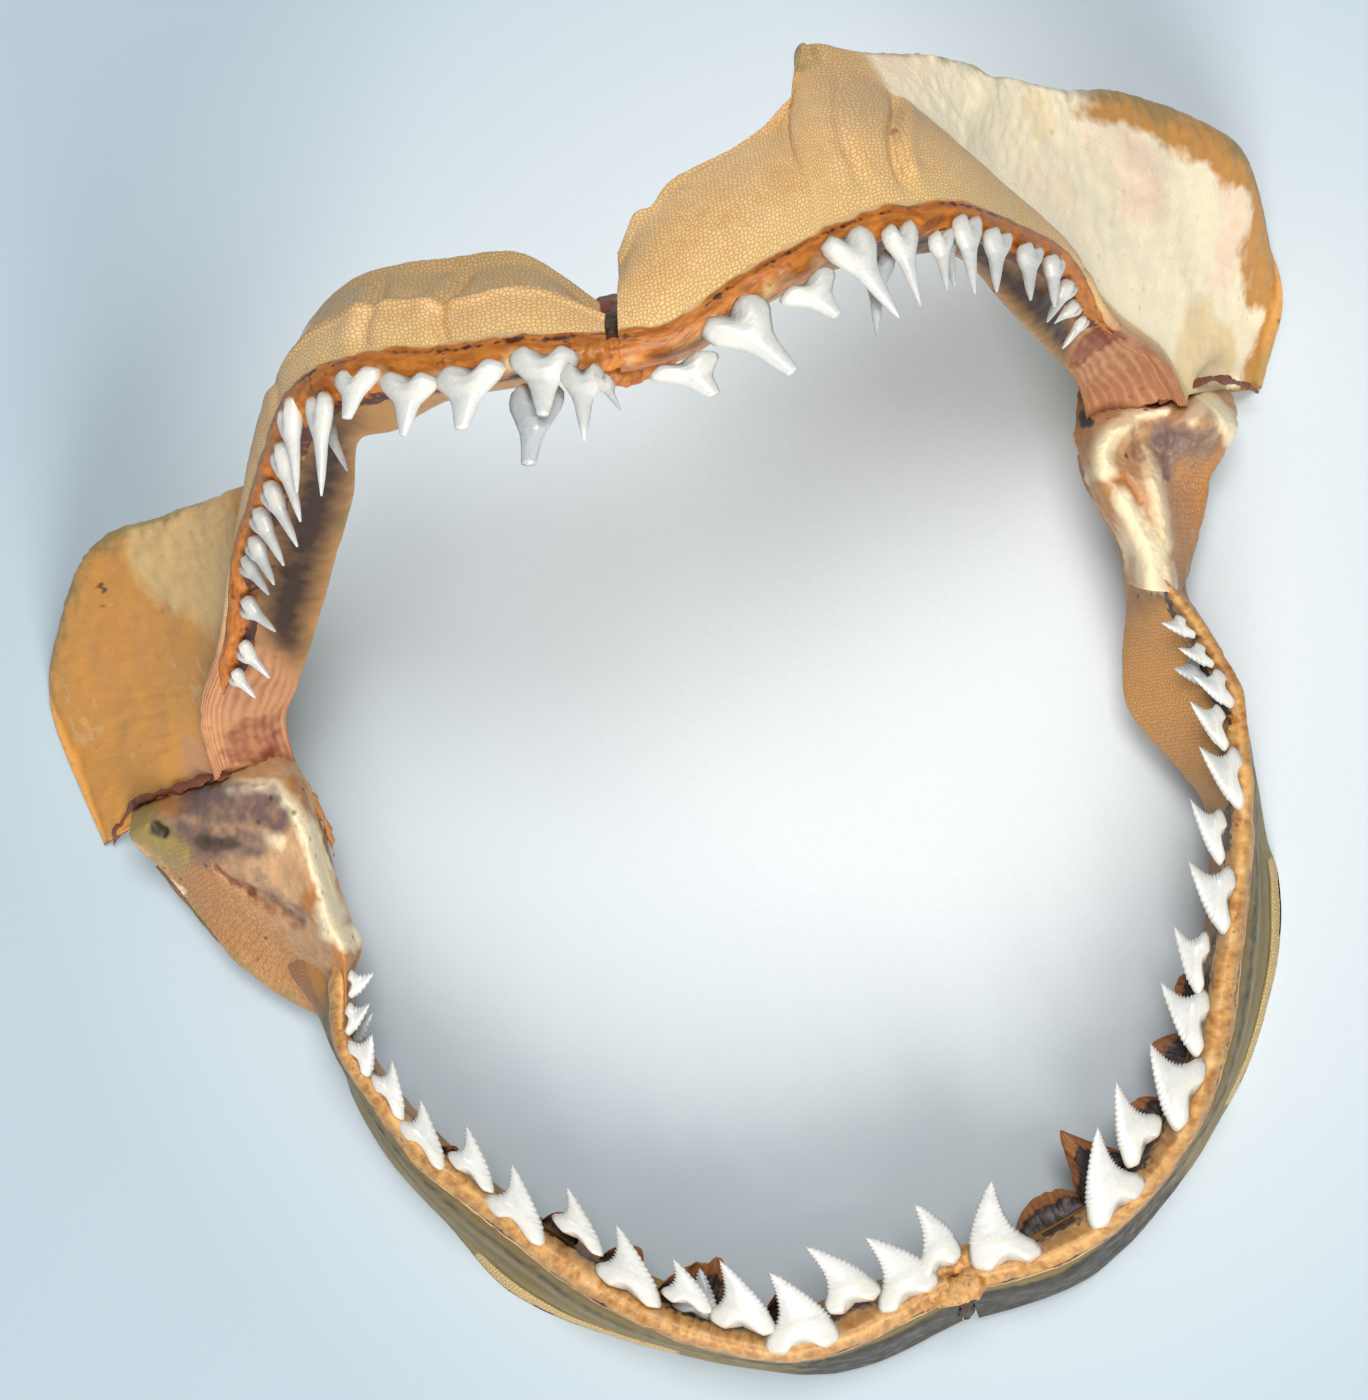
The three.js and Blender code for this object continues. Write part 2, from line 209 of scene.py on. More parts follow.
def catmull(points: Array, t: Array) -> Array:
    """Open Catmull-Rom curve through points, its ends carried on in a straight line.

    Args:
        points: control points, shape (n, 3).
        t: places in control point units, 0 to n - 1.

    Returns:
        Places on the curve, shape (len(t), 3).
    """
    padded = np.vstack([2 * points[0] - points[1], points, 2 * points[-1] - points[-2]])
    t = np.clip(t, 0.0, len(points) - 1.0)
    i = np.minimum(t.astype(int), len(points) - 2)
    f = (t - i)[:, None]
    a, b, c, d = padded[i], padded[i + 1], padded[i + 2], padded[i + 3]
    return _hermite(b, c, (c - a) / 2, (d - b) / 2, f)


def _hermite(b: Array, c: Array, m0: Array, m1: Array, f: Array) -> Array:
    """Cubic from b to c with end slopes m0 and m1."""
    f2, f3 = f * f, f * f * f
    return (2 * f3 - 3 * f2 + 1) * b + (f3 - 2 * f2 + f) * m0 + (3 * f2 - 2 * f3) * c + (f3 - f2) * m1


def closed_catmull(controls: Array, v: Array) -> Array:
    """Closed Catmull-Rom curves, one for each section.

    Args:
        controls: control points, shape (sections, n, 3).
        v: places in control point units, shape (sections, m), taken round and round.

    Returns:
        Places, shape (sections, m, 3).
    """
    n = controls.shape[1]
    base = np.floor(v).astype(int)
    f = (v - base)[..., None]
    rows = np.arange(controls.shape[0])[:, None]
    a, b, c, d = (controls[rows, (base + k) % n] for k in (-1, 0, 1, 2))
    return _hermite(b, c, (c - a) / 2, (d - b) / 2, f)


def grid_normals(p: Array, closed: bool) -> Array:
    """Normals of a grid surface: the cross product of its two central differences.

    Args:
        p: places, shape (rows, columns, 3).
        closed: whether the last column meets the first.

    Returns:
        Unit vectors, shape (rows, columns, 3).
    """
    along = np.gradient(p, axis=0)
    across = (np.roll(p, -1, axis=1) - np.roll(p, 1, axis=1)) if closed else np.gradient(p, axis=1)
    return unit(np.cross(across, along))


def eased_in(places: Array) -> Array:
    """Places eased inside the CAD box: past a knee before a side, what is over becomes knee * tanh(over / knee).

    Args:
        places: places in mm about the frame's origin.

    Returns:
        Places in mm, none of them past a side or the top.
    """
    low, high = np.array(CAD_BOX) / MM
    over = np.maximum(places - (high - KNEE), 0.0)
    under = np.maximum(low + KNEE - places, 0.0) * SIDES
    return places - over + KNEE * np.tanh(over / KNEE) + under - KNEE * np.tanh(under / KNEE)


def keep_above(p: Array, least: float | Array = CLEARANCE) -> None:
    """Raises the places that lie lower than least, in mm."""
    p[..., 2] = np.maximum(p[..., 2], least)


def around(outer: Array, inner: Array) -> Array:
    """Loop round a sheet: the columns of its outer layer, then those of its inner layer backwards."""
    return np.concatenate([outer, inner[:, ::-1]], axis=1)


def outward_sign(p: Array) -> float:
    """Sign that turns a tube's grid_normals outwards, by their mean product with the place about the row's middle."""
    return float(np.sign(np.sum(grid_normals(p, True) * (p - p.mean(axis=1, keepdims=True)))))


def flow_of(p: Array) -> Array:
    """Lengths along and across a grid: running sums of the steps between neighbours.

    Args:
        p: places, shape (rows, columns, 3).

    Returns:
        Lengths in mm, shape (rows, columns, 2).
    """
    along = np.cumsum(np.linalg.norm(np.diff(p, axis=0, prepend=p[:1]), axis=-1), axis=0)
    across = np.cumsum(np.linalg.norm(np.diff(p, axis=1, prepend=p[:, :1]), axis=-1), axis=1)
    return np.stack([along.mean(axis=1, keepdims=True) + 0 * across, across], axis=-1)


# ---- Meshes ----


@dataclass
class Patchwork:
    """Grids gathered into one mesh, with a value for each mask at every vertex."""

    name: str
    verts: list[Array] = field(default_factory=list)
    faces: list[list[tuple[int, ...]]] = field(default_factory=list)
    masks: dict[str, list[Array]] = field(default_factory=dict)
    flow: list[Array] = field(default_factory=list)
    count: int = 0

    def tube(self, p: Array, masks: Masks | None = None, flow: Array | None = None) -> None:
        """Adds a closed tube: rows along its length, columns around, both ends filled to their middles.

        Args:
            p: places, shape (rows, columns, 3).
            masks: values at each place, shape (rows, columns).
            flow: lengths along and across the surface at each place, shape (rows, columns, 2).
        """
        rows, cols = p.shape[:2]
        index = np.arange(rows * cols).reshape(rows, cols)
        right = np.roll(index, -1, axis=1)
        quads = np.stack([index[:-1], right[:-1], right[1:], index[1:]], axis=-1).reshape(-1, 4)
        caps = np.array([rows * cols, rows * cols + 1])
        first = np.stack([right[0], index[0], np.full(cols, caps[0])], axis=-1)
        last = np.stack([index[-1], right[-1], np.full(cols, caps[1])], axis=-1)
        verts = np.vstack([p.reshape(-1, 3), p[0].mean(axis=0), p[-1].mean(axis=0)])
        triangles = np.vstack([first, last])
        if self._volume(verts, quads, triangles) < 0:
            quads, triangles = quads[:, ::-1], triangles[:, ::-1]
        self._add(verts, [quads, triangles], masks or {}, flow)

    @staticmethod
    def _volume(verts: Array, quads: Array, triangles: Array) -> float:
        """Signed volume: a sixth of the sum of the triple products of the triangles.

        Args:
            verts: places, shape (n, 3).
            quads: vertex numbers, shape (m, 4).
            triangles: vertex numbers, shape (k, 3).

        Returns:
            The volume, below zero where the faces look inwards.
        """
        split = np.vstack([quads[:, [0, 1, 2]], quads[:, [0, 2, 3]], triangles])
        a, b, c = (verts[split[:, k]] for k in range(3))
        return float(np.sum(a * np.cross(b, c)) / 6.0)

    def _add(self, verts: Array, faces: Sequence[Array], masks: Masks, flow: Array | None) -> None:
        """Stores one closed grid, its caps taking the mean of the end rows.

        Args:
            verts: places, the two cap middles last.
            faces: vertex numbers of the quads and of the triangles.
            masks: values at each place of the grid.
            flow: lengths along and across at each place of the grid.
        """
        for name in masks:
            self.masks.setdefault(name, [np.zeros(self.count)] if self.count else [])
        for name, held in self.masks.items():
            if name in masks:
                m = masks[name]
                held.append(np.concatenate([m.reshape(-1), [m[0].mean(), m[-1].mean()]]))
            else:
                held.append(np.zeros(len(verts)))
        ends = None if flow is None else np.vstack([flow.reshape(-1, 2), flow[0, 0], flow[-1, 0]])
        self.flow.append(np.zeros((len(verts), 2)) if ends is None else ends)
        self.verts.append(verts)
        self.faces.extend((f + self.count).tolist() for f in faces)
        self.count += len(verts)

    def build(self, material: Material, slot: Slot, replaces: Sequence[str] = ()) -> Object:
        """Writes the mesh in metres about the specimen's origin, and rides it on the body.

        Args:
            material: its finish.
            slot: not used.
            replaces: CAD nodes that the piece stands for.

        Returns:
            The new object.
        """
        mesh = bpy.data.meshes.new(self.name)
        verts = eased_in(np.vstack(self.verts) - CENTRE) * MM
        mesh.from_pydata(verts.tolist(), [], [face for faces in self.faces for face in faces])
        for name, held in self.masks.items():
            layer = mesh.attributes.new(name, "FLOAT", "POINT")
            layer.data.foreach_set("value", np.concatenate(held).astype(np.float32))
        corners = np.zeros(len(mesh.loops), dtype=np.int32)
        mesh.loops.foreach_get("vertex_index", corners)
        uv = mesh.uv_layers.new(name="Flow")
        uv.data.foreach_set("uv", (np.vstack(self.flow)[corners] * MM).astype(np.float32).reshape(-1))
        mesh.shade_smooth()
        mesh.materials.append(material)
        piece = bpy.data.objects.new(self.name, mesh)
        bpy.context.collection.objects.link(piece)
        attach(piece, BODY)
        if replaces:
            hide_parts(*replaces)
        log.info("%s: %d vertices, %d faces", self.name, len(mesh.vertices), len(mesh.polygons))
        return piece


# ---- Shader nodes ----


def paint(code: str) -> Colour:
    """Linear colour of an sRGB code, by the sRGB curve.

    Args:
        code: six hexadecimal digits.

    Returns:
        Red, green, blue and alpha.
    """
    channels = [int(code[i : i + 2], 16) / 255.0 for i in (0, 2, 4)]
    linear = [c / 12.92 if c <= 0.04045 else ((c + 0.055) / 1.055) ** 2.4 for c in channels]
    return (linear[0], linear[1], linear[2], 1.0)


class Sketch:
    """Adds wired nodes to one tree."""

    def __init__(self, tree: NodeTree) -> None:
        """Keeps the tree that the nodes go in."""
        self.tree = tree

    def add(self, kind: str, inputs: Inputs | None = None, **settings: object) -> Node:
        """Adds a node.

        Args:
            kind: Blender's class name of the node.
            inputs: a value or another node's output for each named or numbered input.
            settings: the node's own properties.

        Returns:
            The node.
        """
        node = self.tree.nodes.new(kind)
        for name, value in settings.items():
            setattr(node, name, value)
        self.fill(node, inputs or {})
        return node

    def fill(self, node: Node, inputs: Inputs) -> None:
        """Fills a node's inputs.

        Args:
            node: the node.
            inputs: another node's output, which is linked, or a value, which is set on the socket itself.
        """
        for name, value in inputs.items():
            if isinstance(value, Socket):
                self.link(value, node.inputs[name])
            else:
                node.inputs[name].default_value = value

    def link(self, output: Socket, given: Socket) -> None:
        """Joins an output to an input."""
        self.tree.links.new(output, given)

    def group(self, tree: NodeTree, inputs: Inputs) -> Node:
        """Places a shared group."""
        return self.add("ShaderNodeGroup", inputs, node_tree=tree)

    def math(self, operation: str, a: object, b: object) -> Socket:
        """One Math node's result."""
        return self.add("ShaderNodeMath", {0: a, 1: b}, operation=operation).outputs[0]

    def times(self, a: object, b: object) -> Socket:
        """Product of two values."""
        return self.math("MULTIPLY", a, b)

    def plus(self, a: object, b: object) -> Socket:
        """Sum of two values."""
        return self.math("ADD", a, b)

    def swing(self, value: object, share: float) -> Socket:
        """A value from 0 to 1 made to swing about zero: (value - 0.5) * share."""
        return self.times(self.math("SUBTRACT", value, 0.5), share)

    def mix(self, factor: object, a: object, b: object) -> Socket:
        """Colours a and b mixed by a factor."""
        return self.add("ShaderNodeMix", {0: factor, 6: a, 7: b}, data_type="RGBA").outputs[2]

    def ramp(
        self, value: object, low: float, high: float, out_low: float = 0.0, out_high: float = 1.0
    ) -> Socket:
        """A value mapped from one range to another, clamped."""
        return self.add("ShaderNodeMapRange", {0: value, 1: low, 2: high, 3: out_low, 4: out_high}).outputs[0]

    def mask(self, name: str) -> Socket:
        """A mask stored on the mesh."""
        return self.add("ShaderNodeAttribute", attribute_name=name).outputs["Fac"]

    def noise(self, vector: object, scale: object, detail: float, rough: float = 0.5) -> Socket:
        """Perlin noise from 0 to 1."""
        inputs = {"Vector": vector, "Scale": scale, "Detail": detail, "Roughness": rough}
        return self.add("ShaderNodeTexNoise", inputs).outputs["Fac"]


FLOAT, VECTOR = "NodeSocketFloat", "NodeSocketVector"


def new_group(
    name: str, inputs: Iterable[tuple[str, str, object]], outputs: Iterable[str]
) -> tuple[Sketch, Node, Node]:
    """Makes an empty shader node group.

    Args:
        name: its name.
        inputs: name, socket type and starting value of each input.
        outputs: name of each output, all of them single values.

    Returns:
        A sketch of its tree, its input node and its output node.
    """
    tree = bpy.data.node_groups.new(name, "ShaderNodeTree")
    for label, kind, value in inputs:
        socket = tree.interface.new_socket(label, in_out="INPUT", socket_type=kind)
        if value is not None:
            socket.default_value = value
    for label in outputs:
        tree.interface.new_socket(label, in_out="OUTPUT", socket_type=FLOAT)
    sketch = Sketch(tree)
    return sketch, sketch.add("NodeGroupInput"), sketch.add("NodeGroupOutput")


def tile_mosaic() -> NodeTree:
    """Group: mosaic of calcified tiles, by the distance to the edges of Voronoi cells on the Flow lengths.

    Returns:
        The group. Height is high on a tile and low in a seam, Seam is 1 in a seam.
    """
    s, given, out = new_group("tile_mosaic", [("Scale", FLOAT, 1000.0)], ["Height", "Seam"])
    flow = s.add("ShaderNodeUVMap", uv_map="Flow")
    inputs = {"Vector": flow.outputs[0], "Scale": given.outputs[0], "Randomness": 0.8}
    cell = s.add("ShaderNodeTexVoronoi", inputs, feature="DISTANCE_TO_EDGE", voronoi_dimensions="2D")
    away = cell.outputs["Distance"]
    s.fill(out, {0: s.ramp(away, 0.02, 0.3), 1: s.ramp(away, 0.02, 0.24, 1.0, 0.0)})
    return s.tree


def mottle() -> NodeTree:
    """Group: blotches, by noise at two scales.

    Returns:
        The group. Fac is the mean of both and Fine the smaller ones alone.
    """
    s, given, out = new_group("mottle", [("Vector", VECTOR, None), ("Scale", FLOAT, 60.0)], ["Fac", "Fine"])
    place, scale = given.outputs[0], given.outputs[1]
    coarse = s.noise(place, scale, 2.0)
    fine = s.noise(place, s.times(scale, 6.5), 1.0)
    mean = s.plus(s.times(coarse, 0.62), s.times(fine, 0.38))
    s.fill(out, {0: s.ramp(mean, 0.34, 0.66), 1: s.ramp(fine, 0.3, 0.7)})
    return s.tree


def fibres() -> NodeTree:
    """Group: dried fibres, by noise drawn out along the surface's second flow direction.

    Returns:
        The group. Height is their relief and Fac the same with more contrast.
    """
    s, given, out = new_group("fibres", [("Scale", FLOAT, 900.0), ("Draw", FLOAT, 0.16)], ["Height", "Fac"])
    flow = s.add("ShaderNodeUVMap", uv_map="Flow")
    parts = s.add("ShaderNodeSeparateXYZ", {0: flow.outputs[0]})
    drawn = s.add("ShaderNodeCombineXYZ", {0: parts.outputs[0], 1: s.times(parts.outputs[1], given.outputs[1])})
    strands = s.noise(drawn.outputs[0], given.outputs[0], 3.0)
    s.fill(out, {0: s.ramp(strands, 0.3, 0.7), 1: s.ramp(strands, 0.38, 0.62)})
    return s.tree


def specks() -> NodeTree:
    """Group: scattered specks and pits, one at the middle of each chosen Voronoi cell.

    Returns:
        The group. Fac is 1 in a speck.
    """
    inputs = [("Vector", VECTOR, None), ("Scale", FLOAT, 220.0), ("Share", FLOAT, 0.5)]
    s, given, out = new_group("specks", inputs, ["Fac"])
    place, scale, share = (given.outputs[k] for k in range(3))
    spots = s.add("ShaderNodeTexVoronoi", {"Vector": place, "Scale": scale}, feature="F1")
    near = s.ramp(spots.outputs["Distance"], 0.10, 0.24, 1.0, 0.0)
    green = s.add("ShaderNodeSeparateColor", {0: spots.outputs["Color"]}).outputs[1]
    chosen = s.math("LESS_THAN", green, share)
    patchy = s.ramp(s.noise(place, 55.0, 1.0), 0.46, 0.6)
    s.fill(out, {0: s.times(s.times(near, chosen), patchy)})
    return s.tree


@dataclass(frozen=True)
class Groups:
    """The shared node groups, built once."""

    mosaic: NodeTree = field(default_factory=tile_mosaic)
    mottle: NodeTree = field(default_factory=mottle)
    fibres: NodeTree = field(default_factory=fibres)
    specks: NodeTree = field(default_factory=specks)


@dataclass(frozen=True)
class Coat:
    """A colour laid where a mask is, its edge broken up by the mottling and soft over twice soft of the mask."""

    mask: str
    colour: str
    strength: float = 1.0
    broken: float = 0.5
    soft: float = 0.15


def start_material(name: str) -> tuple[Material, Sketch, Node, Socket]:
    """Makes a material.

    Args:
        name: its name.

    Returns:
        The material, a sketch of its tree, its Principled node and its object coordinates.
    """
    material = bpy.data.materials.new(name)
    material.use_nodes = True
    material.node_tree.nodes.clear()
    s = Sketch(material.node_tree)
    shader = s.add("ShaderNodeBsdfPrincipled")
    out = s.add("ShaderNodeOutputMaterial")
    s.link(shader.outputs[0], out.inputs[0])
    return material, s, shader, s.add("ShaderNodeTexCoord").outputs["Object"]


def dress(s: Sketch, shader: Node, inputs: Inputs, relief: tuple[float, float, Socket]) -> None:
    """Fills a Principled node and gives it a relief.

    Args:
        s: sketch of the material's tree.
        shader: the Principled node.
        inputs: colour and roughness, and the constants that are set on their sockets.
        relief: strength, depth in metres and height of the Bump node.
    """
    strength, depth, height = relief
    bumped = s.add("ShaderNodeBump", {"Strength": strength, "Distance": depth, "Height": height})
    s.fill(shader, inputs | {"Normal": bumped.outputs[0]})


@dataclass(frozen=True)
class Cartilage:
    """Finish of dried cartilage: coats over a base colour, a mosaic of tiles, blotches and specks."""

    name: str
    base: str
    second: str
    coats: tuple[Coat, ...]
    tile_size: float = 1.0
    roughness: float = 0.5
    seam: str = "a56c36"
    seams: float = 0.55
    tile: str = "f6dcab"
    tiles: float = 0.16
    speck: str = "3b2c20"

    def make(self, groups: Groups) -> Material:
        """Builds the material.

        Colour: base and second mixed by the blotches, then each coat over them, tile seams darkened where
        the mesh's tiles mask is, specks last. Height: tiles plus fine grain.

        Args:
            groups: the shared groups.

        Returns:
            The material.
        """
        material, s, shader, place = start_material(self.name)
        blotch = s.group(groups.mottle, {"Vector": place, "Scale": 48.0})
        tiles = s.group(groups.mosaic, {"Scale": 1.0 / (self.tile_size * MM)})
        dots = s.group(groups.specks, {"Vector": place, "Scale": 240.0, "Share": 0.42})
        colour = s.mix(blotch.outputs[0], paint(self.base), paint(self.second))
        for coat in self.coats:
            mask = s.mask(coat.mask)
            ragged = s.plus(mask, s.swing(blotch.outputs[0], coat.broken))
            shown = s.ramp(ragged, 0.5 - coat.soft, 0.5 + coat.soft, 0.0, coat.strength)
            colour = s.mix(s.times(shown, s.ramp(mask, 0.0, 0.25)), colour, paint(coat.colour))
        tiled = s.mask("tiles")
        raised = s.times(tiles.outputs[0], tiled)
        colour = s.mix(s.times(tiles.outputs[1], s.times(tiled, self.seams)), colour, paint(self.seam))
        colour = s.mix(s.times(raised, self.tiles), colour, paint(self.tile))
        colour = s.mix(s.times(dots.outputs[0], s.mask("grubby")), colour, paint(self.speck))
        rough = s.ramp(blotch.outputs[1], 0.0, 1.0, self.roughness - 0.1, self.roughness + 0.14)
        height = s.plus(s.times(raised, 0.6), s.times(s.noise(place, 900.0, 0.0), 0.5))
        gloss = {"Specular IOR Level": 0.42, "Coat Weight": 0.08, "Coat Roughness": 0.35}
        dress(s, shader, {"Base Color": colour, "Roughness": rough, **gloss}, (0.55, 0.00022, height))
        return material


@dataclass(frozen=True)
class Membrane:
    """Finish of the dried dental membrane: amber fibres, darkened by dark stains and by painted shade."""

    name: str
    pale: str
    deep: str
    dark: str
    roughness: float = 0.46
    draw: float = 0.14
    scale: float = 900.0
    cream: str = "e0c08c"

    def make(self, groups: Groups) -> Material:
        """Builds the material: fibres mix pale and deep, the stain_and_shade mask (dark stains and painted shade) and
        specks darken them.

        Args:
            groups: the shared groups.

        Returns:
            The material.
        """
        material, s, shader, place = start_material(self.name)
        strands = s.group(groups.fibres, {"Scale": self.scale, "Draw": self.draw})
        blotch = s.group(groups.mottle, {"Vector": place, "Scale": 95.0})
        dots = s.group(groups.specks, {"Vector": place, "Scale": 420.0, "Share": 0.5})
        both = s.plus(s.times(strands.outputs[1], 0.55), s.times(blotch.outputs[0], 0.45))
        colour = s.mix(both, paint(self.deep), paint(self.pale))
        # the mesh's mask holds dark stains and painted shade
        stain_and_shade = s.ramp(s.plus(s.mask("stain_and_shade"), s.swing(blotch.outputs[1], 0.6)), 0.35, 0.75)
        colour = s.mix(stain_and_shade, colour, paint(self.dark))
        colour = s.mix(s.ramp(s.mask("cream"), 0.2, 0.8, 0.0, 0.8), colour, paint(self.cream))
        colour = s.mix(s.times(dots.outputs[0], 0.5), colour, paint(self.dark))
        rough = s.ramp(strands.outputs[0], 0.0, 1.0, self.roughness - 0.12, self.roughness + 0.16)
        gloss = {"Coat Weight": 0.15, "Coat Roughness": 0.3}
        dress(s, shader, {"Base Color": colour, "Roughness": rough, **gloss}, (0.7, 0.00035, strands.outputs[0]))
        return material


@dataclass(frozen=True)
class Enamel:
    """Finish of a tooth: glossy crown and duller root."""

    name: str
    crown: str
    root: str
    shade: str
    gloss: float = 0.22
    streak: str = "cfc8b8"
    gumline: str = "b98a52"

    def make(self, groups: Groups) -> Material:
        """Builds the material: crown to root by the root mask, with faint growth streaks and stains.

        Args:
            groups: the shared groups.

        Returns:
            The material.
        """
        material, s, shader, place = start_material(self.name)
        blotch = s.group(groups.mottle, {"Vector": place, "Scale": 130.0})
        streak = s.group(groups.fibres, {"Scale": 1500.0, "Draw": 0.12})
        root = s.mask("root")
        colour = s.mix(s.ramp(blotch.outputs[0], 0.2, 0.9, 0.0, 0.5), paint(self.crown), paint(self.shade))
        faint = s.times(s.ramp(streak.outputs[1], 0.0, 1.0, 0.0, 0.3), s.math("SUBTRACT", 1.0, root))
        colour = s.mix(faint, colour, paint(self.streak))
        edge = s.ramp(s.plus(root, s.swing(blotch.outputs[1], 0.35)), 0.35, 0.65)
        colour = s.mix(s.times(edge, 0.75), colour, paint(self.root))
        colour = s.mix(s.ramp(s.mask("gumline"), 0.2, 1.0, 0.0, 0.75), colour, paint(self.gumline))
        rough = s.ramp(root, 0.2, 0.8, self.gloss, self.gloss + 0.25)
        height = s.times(s.noise(place, 1400.0, 0.0), s.plus(root, 0.15))
        gloss = {"Coat Weight": 0.3, "Coat Roughness": 0.12}
        dress(s, shader, {"Base Color": colour, "Roughness": rough, **gloss}, (0.4, 0.00016, height))
        return material


# ---- Cartilages ----

CONTROLS = 12
PLEATS = 26


@dataclass(frozen=True)
class Spot:
    """A local patch of one mask: a ball with a soft, uneven border."""

    mask: str
    at: Triple
    radius: float
    strength: float = 1.0


@dataclass
class Arch:
    """One side of a jaw: the lines of its stations and the thickness of its cartilage.

    The section at a station runs down the outer face from rim by crest to margin and back inside it. Its places
    count the control points: 0 rim, 3 crest, 4 plate, 5 margin, 6 and 7 back, 8 keel, 9 underside, 10 lingual
    line, 11 wall.
    """

    jaw: Jaw
    side: Side
    rim: Sequence[Triple]
    crest: Sequence[Triple]
    margin: Sequence[Triple]
    lingual: Sequence[Triple]
    crest_thick: tuple[float, float]
    plate_thick: tuple[float, float]
    edge_thick: tuple[float, float]
    labial_bulge: float
    lingual_bulge: float
    spots: tuple[Spot, ...] = ()

    @property
    def last(self) -> int:
        """Number of the last station."""
        return len(self.rim) - 1

    @property
    def node(self) -> str:
        """Name of the CAD node of this cartilage."""
        return f"{self.jaw.value}_jaw_{self.side.value}"

    def line(self, name: str, s: Array) -> Array:
        """Places on one of the station lines."""
        return catmull(np.array(getattr(self, name), dtype=float), s)

    def frame(self, s: Array) -> tuple[Array, Array, Array, Array]:
        """Frame along the rim.

        Args:
            s: places in stations.

        Returns:
            Rim, tangent to the joint, direction down the outer face, and direction out of it.
        """
        rim = self.line("rim", s)
        step = 0.02 * self.last
        tangent = unit(self.line("rim", np.minimum(s + step, self.last)) - self.line("rim", np.maximum(s - step, 0)))
        down = self.line("crest", s) - rim
        down = unit(down - dot(down, tangent) * tangent)
        out = np.cross(tangent, down)
        inner = self.line("lingual", s) - rim
        return rim, tangent, down, out * (1.0 if np.median(dot(out, inner)) < 0 else -1.0)

    def controls(self, s: Array) -> Array:
        """Control points of each section.

        Args:
            s: places in stations.

        Returns:
            Places, shape (len(s), CONTROLS, 3).
        """
        rim, tangent, _, out = self.frame(s)
        crest, margin, lingual = (self.line(name, s) for name in ("crest", "margin", "lingual"))
        wing = unit(np.cross(tangent, margin - crest))
        turns = np.where(np.sum(wing[1:] * wing[:-1], axis=-1) < 0, -1.0, 1.0)
        wing = wing * np.concatenate([[1.0], np.cumprod(turns)])[:, None]
        wing = wing * np.sign(np.sum(dot(wing, out)))
        width = np.linalg.norm(margin - crest, axis=-1, keepdims=True)
        share = (s / self.last)[:, None]
        plate = (crest + margin) / 2 - wing * np.clip(width - 14, 0, 26) * 0.08

        def thick(pair: tuple[float, float]) -> Array:
            """Thickness that changes evenly from the symphysis to the joint."""
            return pair[0] + (pair[1] - pair[0]) * share

        keel = crest - out * thick(self.crest_thick)
        under = (keel + lingual) / 2 * 0.75 + rim * 0.25
        wall = (lingual + rim) / 2
        points = [
            rim,
            rim * 0.67 + crest * 0.33 + out * self.labial_bulge,
            rim * 0.33 + crest * 0.67 + out * self.labial_bulge,
            crest,
            plate,
            margin,
            margin - wing * thick(self.edge_thick),
            plate - wing * thick(self.plate_thick),
            keel,
            under,
            lingual,
            wall + unit(wall - crest) * self.lingual_bulge,
        ]
        return np.stack(points, axis=1)

    def surface(self, s: Array, v: Array) -> Array:
        """Places on the skin of the cartilage, for stations s and section places v of shape (len(s), m)."""
        return closed_catmull(self.controls(s), v)

    def spot_masks(self, p: Array) -> Masks:
        """Masks of the local patches: 1 - smoothstep of the distance over the radius, roughened by noise.

        Args:
            p: places in space.

        Returns:
            One array for each mask that a patch names.
        """
        masks: Masks = {}
        for number, spot in enumerate(self.spots):
            away = np.linalg.norm(p - np.array(spot.at), axis=-1) / spot.radius
            away = away + 0.22 * fractal(p, spot.radius * 0.55, 40 + number)
            held = spot.strength * smooth(1.1, 0.75, away)
            masks[spot.mask] = np.maximum(masks.get(spot.mask, 0.0), held)
        return masks

    def skin(self, rows: int, columns: int) -> tuple[Array, Array, Array, Array]:
        """Grid over the whole cartilage.

        Args:
            rows: how many stations.
            columns: how many places round each section.

        Returns:
            Stations, section places, places in space and the directions from margin to crest.
        """
        s = np.linspace(0, self.last, rows)
        v = np.tile(np.linspace(0, CONTROLS, columns, endpoint=False), (rows, 1))
        inward = unit(self.line("crest", s) - self.line("margin", s))[:, None, :]
        return s, v, self.surface(s, v), inward

    def piece(self, p: Array, masks: Masks, material: Material, slot: Slot) -> Object:
        """Adds the local patches to the masks and writes the cartilage.

        Args:
            p: places in space.
            masks: the masks of the whole piece.
            material: its finish.
            slot: the record's slot of that finish.

        Returns:
            The new object, which stands for this arch's CAD node.
        """
        for name, values in self.spot_masks(p).items():
            masks[name] = np.clip(masks.get(name, 0.0) + values, 0, 1)
        work = Patchwork(f"{self.node}_cartilage")
        work.tube(p, masks, flow_of(p))
        return work.build(material, slot, [self.node])


